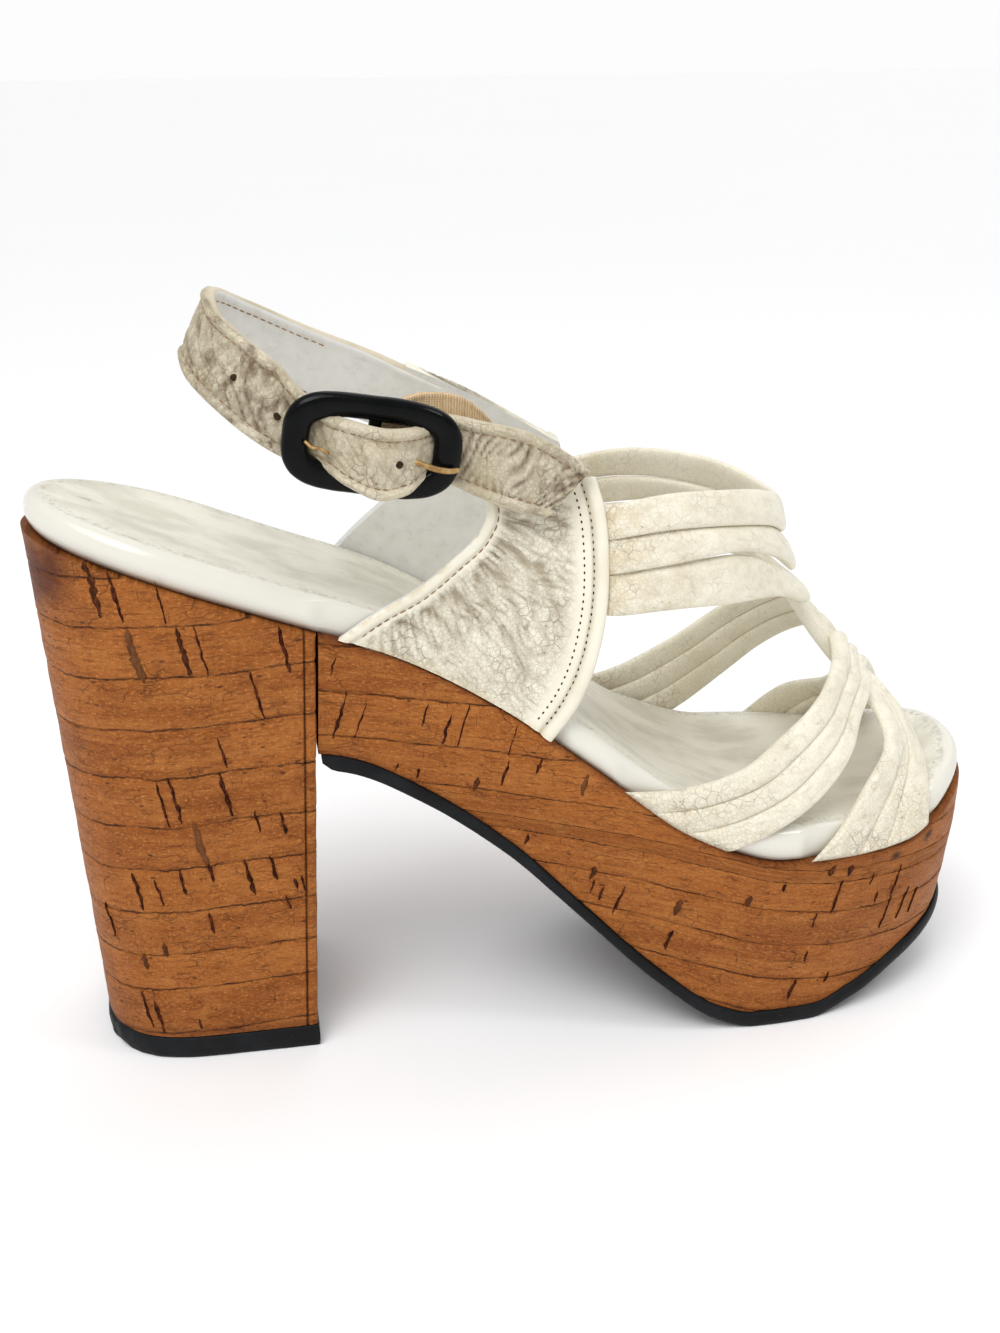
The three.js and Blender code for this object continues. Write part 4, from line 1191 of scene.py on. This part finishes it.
def sling_strap():
    band = Band(SLING, ANKLE_CENTRE, 0.6)
    t = np.linspace(0, 1, 40)
    u, length = band.u[:, None], band.length[:, None]
    x, z = np.broadcast_arrays(length, t[None, :] * band.width[:, None])
    edge = np.minimum(z, band.width[:, None] - z)
    tail = 1 / (1 + np.exp(-(u - 16.0) * 3))
    loop = bell(u - 13.2, 1.4)
    heel = bell(u - 8.5, 3.0)
    joined = bell(length, 9)
    bend = 1.4 * flat_noise(90, x / 8, z / 8)
    slant = (x + 0.35 * z + bend) / 2.1 + 0.9 * flat_noise(91, x / 7, z / 9)
    patchy = np.clip(0.6 + 0.6 * flat_noise(95, x / 4.5, z / 5), 0.1, 1)
    cross = (0.5 - 0.5 * np.cos(2 * np.pi * slant)) ** 2 * patchy
    diagonal = ridges(92, (x - z + bend) / 3.4, (x + z) / 9)
    fine = ridges(93, x / 1.3, z / 2.6)
    body = np.clip((edge - 1.9) / 0.8, 0, 1)
    wrinkle = tail * cross + (0.75 * diagonal + 0.4 * cross) * (heel + 0.6 * loop) * (1 - tail)
    relief = 0.6 * np.sin(np.pi * t)[None, :] - body * (0.95 * wrinkle + 0.3 * fine)
    relief += 0.6 * bell(edge - 0.95, 0.75) - 0.3 * bell(edge - 2.2, 0.35)
    relief += 0.35 * flat_noise(94, x / 7, z / 6) * body - 0.8 * joined
    wall = STRAP_WALL - 1.1 * joined
    outer = band.at(t, relief)
    ti = np.linspace(1, 0, 22)
    inner_relief = 0.25 * bell(np.minimum(ti, 1 - ti) * 16.5 - 1.0, 0.8)
    inner = band.at(ti, -(wall + inner_relief * (1 - joined)))
    p = np.concatenate([outer, band.at([1.03], -wall / 2), inner, band.at([-0.03], -wall / 2)], 1)

    def on_face(values):
        """Values of the outer face, and none on the rest of the ring."""
        return np.pad(np.broadcast_to(values, x.shape), ((0, 0), (0, p.shape[1] - len(t))))
    tip = np.exp(-(band.length[-1] - band.length) / 9)[:, None]
    # Painted shade: darker along the strap's wrinkles and along its stitch grooves.
    crease = body * (0.9 * wrinkle + 0.35 * fine) + 0.3 * bell(edge - 2.3, 0.4)
    # Painted shade, with some grime, darkens the part of the strap round the heel; the tail is
    # darker along its cross creases.
    heel_shade_and_grime = 0.95 * heel * (0.5 + 0.5 * diagonal) + 0.3 * body * cross * tail
    sides = np.zeros(p.shape[1], int)
    sides[41:62] = 1
    builder = Builder()
    builder.grid(p, u=band.length, v=np.arange(p.shape[1] + 1.0), wrap_v=True, caps=True,
                 material=sides, crease=on_face(np.clip(crease, 0, 1)), crackle=on_face(0.7),
                 dirt=on_face(np.clip(tip * 0.9 + heel_shade_and_grime, 0, 1)), pale=on_face(bell(length, 32)))
    builder.build("sling_strap", [sling_leather, lining], ["back_strap"],
                  sharp_angle=70)
    return band, outer, t


def sling_details(band, outer, t):
    threads = Builder()
    for from_top in (True, False):
        path, normals = [], []
        for i in range(2, len(outer) - 3, 2):
            share = STRAP_SEAM / band.width[i]
            j = (share if from_top else 1 - share) * (len(t) - 1)
            path.append(outer[i, int(j)] * (1 - j % 1) + outer[i, int(j) + 1] * (j % 1))
            normals.append(band.normal[i])
        path, normals = np.array(path), np.array(normals)
        stitch_row(threads, path, normals, 2.1, 1.6, 0.22, 0.02)
        inside = path - normals * (STRAP_WALL + 0.62)
        stitch_row(threads, inside[30:], -normals[30:], 2.1, 1.6, 0.2, 0.0)
    threads.build("sling_stitches", [thread])
    holes = Builder()
    for u, share in ((8.05, 0.5), (9.25, 0.55), (13.6, 0.5)):
        i = int(np.argmin(np.abs(band.u - u)))
        j = int(share * (len(t) - 1))
        centre, normal = outer[i, j], band.normal[i]
        run = np.linspace(-0.9, 0.9, 6)[:, None] * band.along[i]
        tube(holes, centre + run, [0.3, 0.7, 0.85, 0.85, 0.7, 0.3], around=12, flat=0.45,
             up=normal)
    holes.build("sling_holes", [needle_hole])


# ---------------------------------------------------------------- buckle
BUCKLE_CENTRE = np.array([81, -31.6, 157.2])
BUCKLE_PITCH = 0.18
BUCKLE_HALF_WIDTH, BUCKLE_HALF_HEIGHT, BUCKLE_CORNER = 17.0, 8.4, 0.6


def place_buckle(p):
    c, s = math.cos(BUCKLE_PITCH), math.sin(BUCKLE_PITCH)
    x, y, z = p[..., 0], p[..., 1], p[..., 2]
    return np.stack([x * c + z * s, y, -x * s + z * c], -1) + BUCKLE_CENTRE


def buckle_frame():
    around, sides = 150, 26
    angle = np.linspace(0, 2 * np.pi, around, endpoint=False)

    def rounded(v, power):
        return np.sign(v) * np.abs(v) ** power
    path = np.stack([BUCKLE_HALF_WIDTH * rounded(np.cos(angle), BUCKLE_CORNER), 0 * angle,
                     BUCKLE_HALF_HEIGHT * rounded(np.sin(angle), BUCKLE_CORNER)], 1)
    loop = np.concatenate([path, path[:1]])
    run = run_length(loop)
    even = np.linspace(0, run[-1], around + 1)[:-1]
    even = np.interp(even, run, np.arange(around + 1))
    path = np.stack([np.interp(even, np.arange(around + 1), loop[:, k]) for k in range(3)], 1)
    closed = np.concatenate([path[-1:], path, path[:1]])
    tangent = unit(closed[2:] - closed[:-2])
    outward = np.cross(tangent, [0, 1, 0])
    outward *= np.sign(np.sum(outward * path, 1, keepdims=True))
    turn = np.linspace(0, 2 * np.pi, sides, endpoint=False)
    swell = 1 + 0.06 * np.cos(2 * angle) + 0.03 * np.sin(5 * angle + 1)
    radial = 2.95 * swell[:, None] * rounded(np.cos(turn), 0.85)
    depth = 2.25 * rounded(np.sin(turn), 0.85)
    p = path[:, None] + outward[:, None] * radial[..., None]
    p[..., 1] += depth[None, :] + 0.15 * np.sin(3 * angle)[:, None]
    p = place_buckle(p)
    p = p + 0.05 * noise(p, 2.5, 100)[..., None]
    builder = Builder()
    builder.grid(p, wrap_u=True, wrap_v=True)
    ends = np.array([(0, 0.2, -BUCKLE_HALF_HEIGHT), (0, 0.2, BUCKLE_HALF_HEIGHT)])
    tube(builder, place_buckle(np.linspace(*ends, 16)), 1.5, around=14, up=(0, 1, 0))
    return builder.build("buckle_loop", [buckle_gloss], ["buckle_frame"])


def buckle_prong():
    builder = Builder()
    line = np.array([(84, -33.5, 156.4), (90, -36.2, 154.2), (94.2, -37.2, 152.6),
                     (97.4, -36.3, 151.7), (100, -35.2, 151.6)])
    path = curve(line, np.linspace(0, len(line) - 1, 30))
    radius = np.interp(np.linspace(0, 1, 30), [0, 0.6, 0.93, 1], [0.6, 0.7, 0.6, 0.25])
    tube(builder, path, radius, around=14)
    wire = np.array([(66.2, -34.2, 159.5), (67.6, -35.2, 158.3), (69.6, -35.3, 157.9),
                     (71.2, -34.6, 156.6)])
    path = curve(wire, np.linspace(0, len(wire) - 1, 22))
    tube(builder, path, 0.4, around=10)
    return builder.build("buckle_pin", [brass], ["buckle_prong"])


def elastic_tab():
    rows = np.array([
        (83.4, -30.4, 165, 82.6, -30.8, 151.4), (89, -27.8, 166.6, 88.4, -28.2, 151.2),
        (95, -24.4, 167, 94.4, -24.8, 150.6), (104, -22.6, 164.6, 103.6, -22.8, 148),
        (116.5, -20.4, 150.4, 115, -24.4, 136)])
    band = Band(rows, ANKLE_CENTRE, 0.45)
    t = np.linspace(0, 1, 40)
    edge = np.minimum(t, 1 - t)[None, :] * band.width[:, None]
    relief = 0.16 * np.sin(2 * np.pi * band.length / 1.1)[:, None] + 0.3 * bell(edge - 0.6, 0.4)
    p = np.concatenate([band.at(t, relief), band.at(t[::-1], -(1.2 + relief))], 1)
    builder = Builder()
    builder.grid(p, u=band.length, v=np.concatenate([t, t[::-1], [0]]) * np.mean(band.width),
                 wrap_v=True, caps=True)
    return builder.build("elastic_tape", [elastic], ["buckle_elastic"])


# ---------------------------------------------------------------- build everything
platform_body()
heel_block()
cork_cracks()
outsole_body()
heel_top_piece()
insole_body()

seams = Builder()
holes = Builder()
for label, rows, side, creases, fan in (
        ("lateral", LATERAL_QUARTER, LATERAL, QUARTER_CREASES, (84, 150)),
        ("medial", MEDIAL_QUARTER, MEDIAL, QUARTER_CREASES[:6], (80, 160))):
    skin, skin_normal, from_rear, from_front = quarter(
        f"{label}_quarter", rows, side, creases, fan)
    for pieces, edge, distance, *size in ((seams, from_rear, REAR_SEAM, 2.1, 1.5, 0.24),
                                          (holes, from_front, FRONT_SEAMS[0], 1.7, 0.75, 0.22),
                                          (holes, from_front, FRONT_SEAMS[1], 1.7, 0.7, 0.24)):
        stitch_row(pieces, *along_edge(skin, skin_normal, edge, distance), *size)
seams.build("quarter_stitches", [thread])
holes.build("quarter_needle_holes", [needle_hole])

instep_band()
vamp_straps()
sling_details(*sling_strap())
buckle_frame()
buckle_prong()
elastic_tab()


# ---------------------------------------------------------------- studio
def floor_and_walls():
    m = Shader("studio_floor")
    tint = m.noise(m.place(900), 2.0)
    colour = m.mix(tint, rgb(250, 250, 251), rgb(253, 253, 253))
    mesh = bpy.data.meshes.new("floor")
    size = 60.0
    mesh.from_pydata([(-size, -size, 0), (size, -size, 0), (size, size, 0), (-size, size, 0)], [],
                     [(0, 1, 2, 3)])
    mesh.materials.append(m.finish(colour, 0.7, Specular_IOR_Level=0.2))
    linked("studio_floor", mesh)


def area_light(name, where, target, size, power):
    light = bpy.data.lights.new(name, "AREA")
    light.shape = "DISK"
    light.size = size
    light.energy = power
    obj = linked(name, light)
    obj.location = where
    obj.rotation_euler = (Vector(target) - Vector(where)).to_track_quat("-Z", "Y").to_euler()


def soft_sun(name, where, strength, spread):
    light = bpy.data.lights.new(name, "SUN")
    light.energy = strength
    light.angle = math.radians(spread)
    linked(name, light).rotation_euler = Vector(where).to_track_quat("Z", "Y").to_euler()


def backdrop(tree):
    """A white wall low down all round, and a dimmer ceiling."""
    where = tree.nodes.new("ShaderNodeTexCoord").outputs["Generated"]
    parts = tree.nodes.new("ShaderNodeSeparateXYZ")
    level = tree.nodes.new("ShaderNodeMapRange")
    level.interpolation_type = "SMOOTHSTEP"
    for number, value in enumerate((0.0, 0.1, 0.32, 0.98, 0.52)):
        level.inputs[number].default_value = value
    sky = tree.nodes["Background"]
    sky.inputs["Color"].default_value = (1, 1, 1, 1)
    tree.links.new(where, parts.inputs[0])
    tree.links.new(parts.outputs[2], level.inputs[0])
    tree.links.new(level.outputs[0], sky.inputs["Strength"])


def camera():
    azimuth, elevation, roll = (math.radians(v) for v in CAMERA_TURN)
    flat = math.cos(elevation)
    back = Vector((math.sin(azimuth) * flat, -math.cos(azimuth) * flat, math.sin(elevation)))
    level = (-back).cross(Vector((0, 0, 1))).normalized()
    above = level.cross(-back)
    right = math.cos(roll) * level + math.sin(roll) * above
    up = math.cos(roll) * above - math.sin(roll) * level
    data = bpy.data.cameras.new("camera")
    data.lens = CAMERA_LENS
    data.clip_start = 0.01
    obj = linked("camera", data)
    rotation = Matrix((right, up, back)).transposed().to_4x4()
    obj.matrix_world = Matrix.Translation(CAMERA_PLACE) @ rotation
    bpy.context.scene.camera = obj


floor_and_walls()
soft_sun("key_sun", (-0.3, -0.45, 1.0), 1.25, 45)
soft_sun("back_sun", (0.6, 0.8, 1.0), 0.5, 60)
area_light("softbox", (-0.35, -0.55, 0.95), (0, 0, 0.08), 0.5, 2.4)
area_light("strip", (0.5, -0.3, 0.8), (0, 0, 0.08), 0.2, 0.9)
bpy.context.scene.view_settings.view_transform = "Standard"
world = bpy.data.worlds.new("world")
bpy.context.scene.world = world
world.use_nodes = True
backdrop(world.node_tree)
camera()
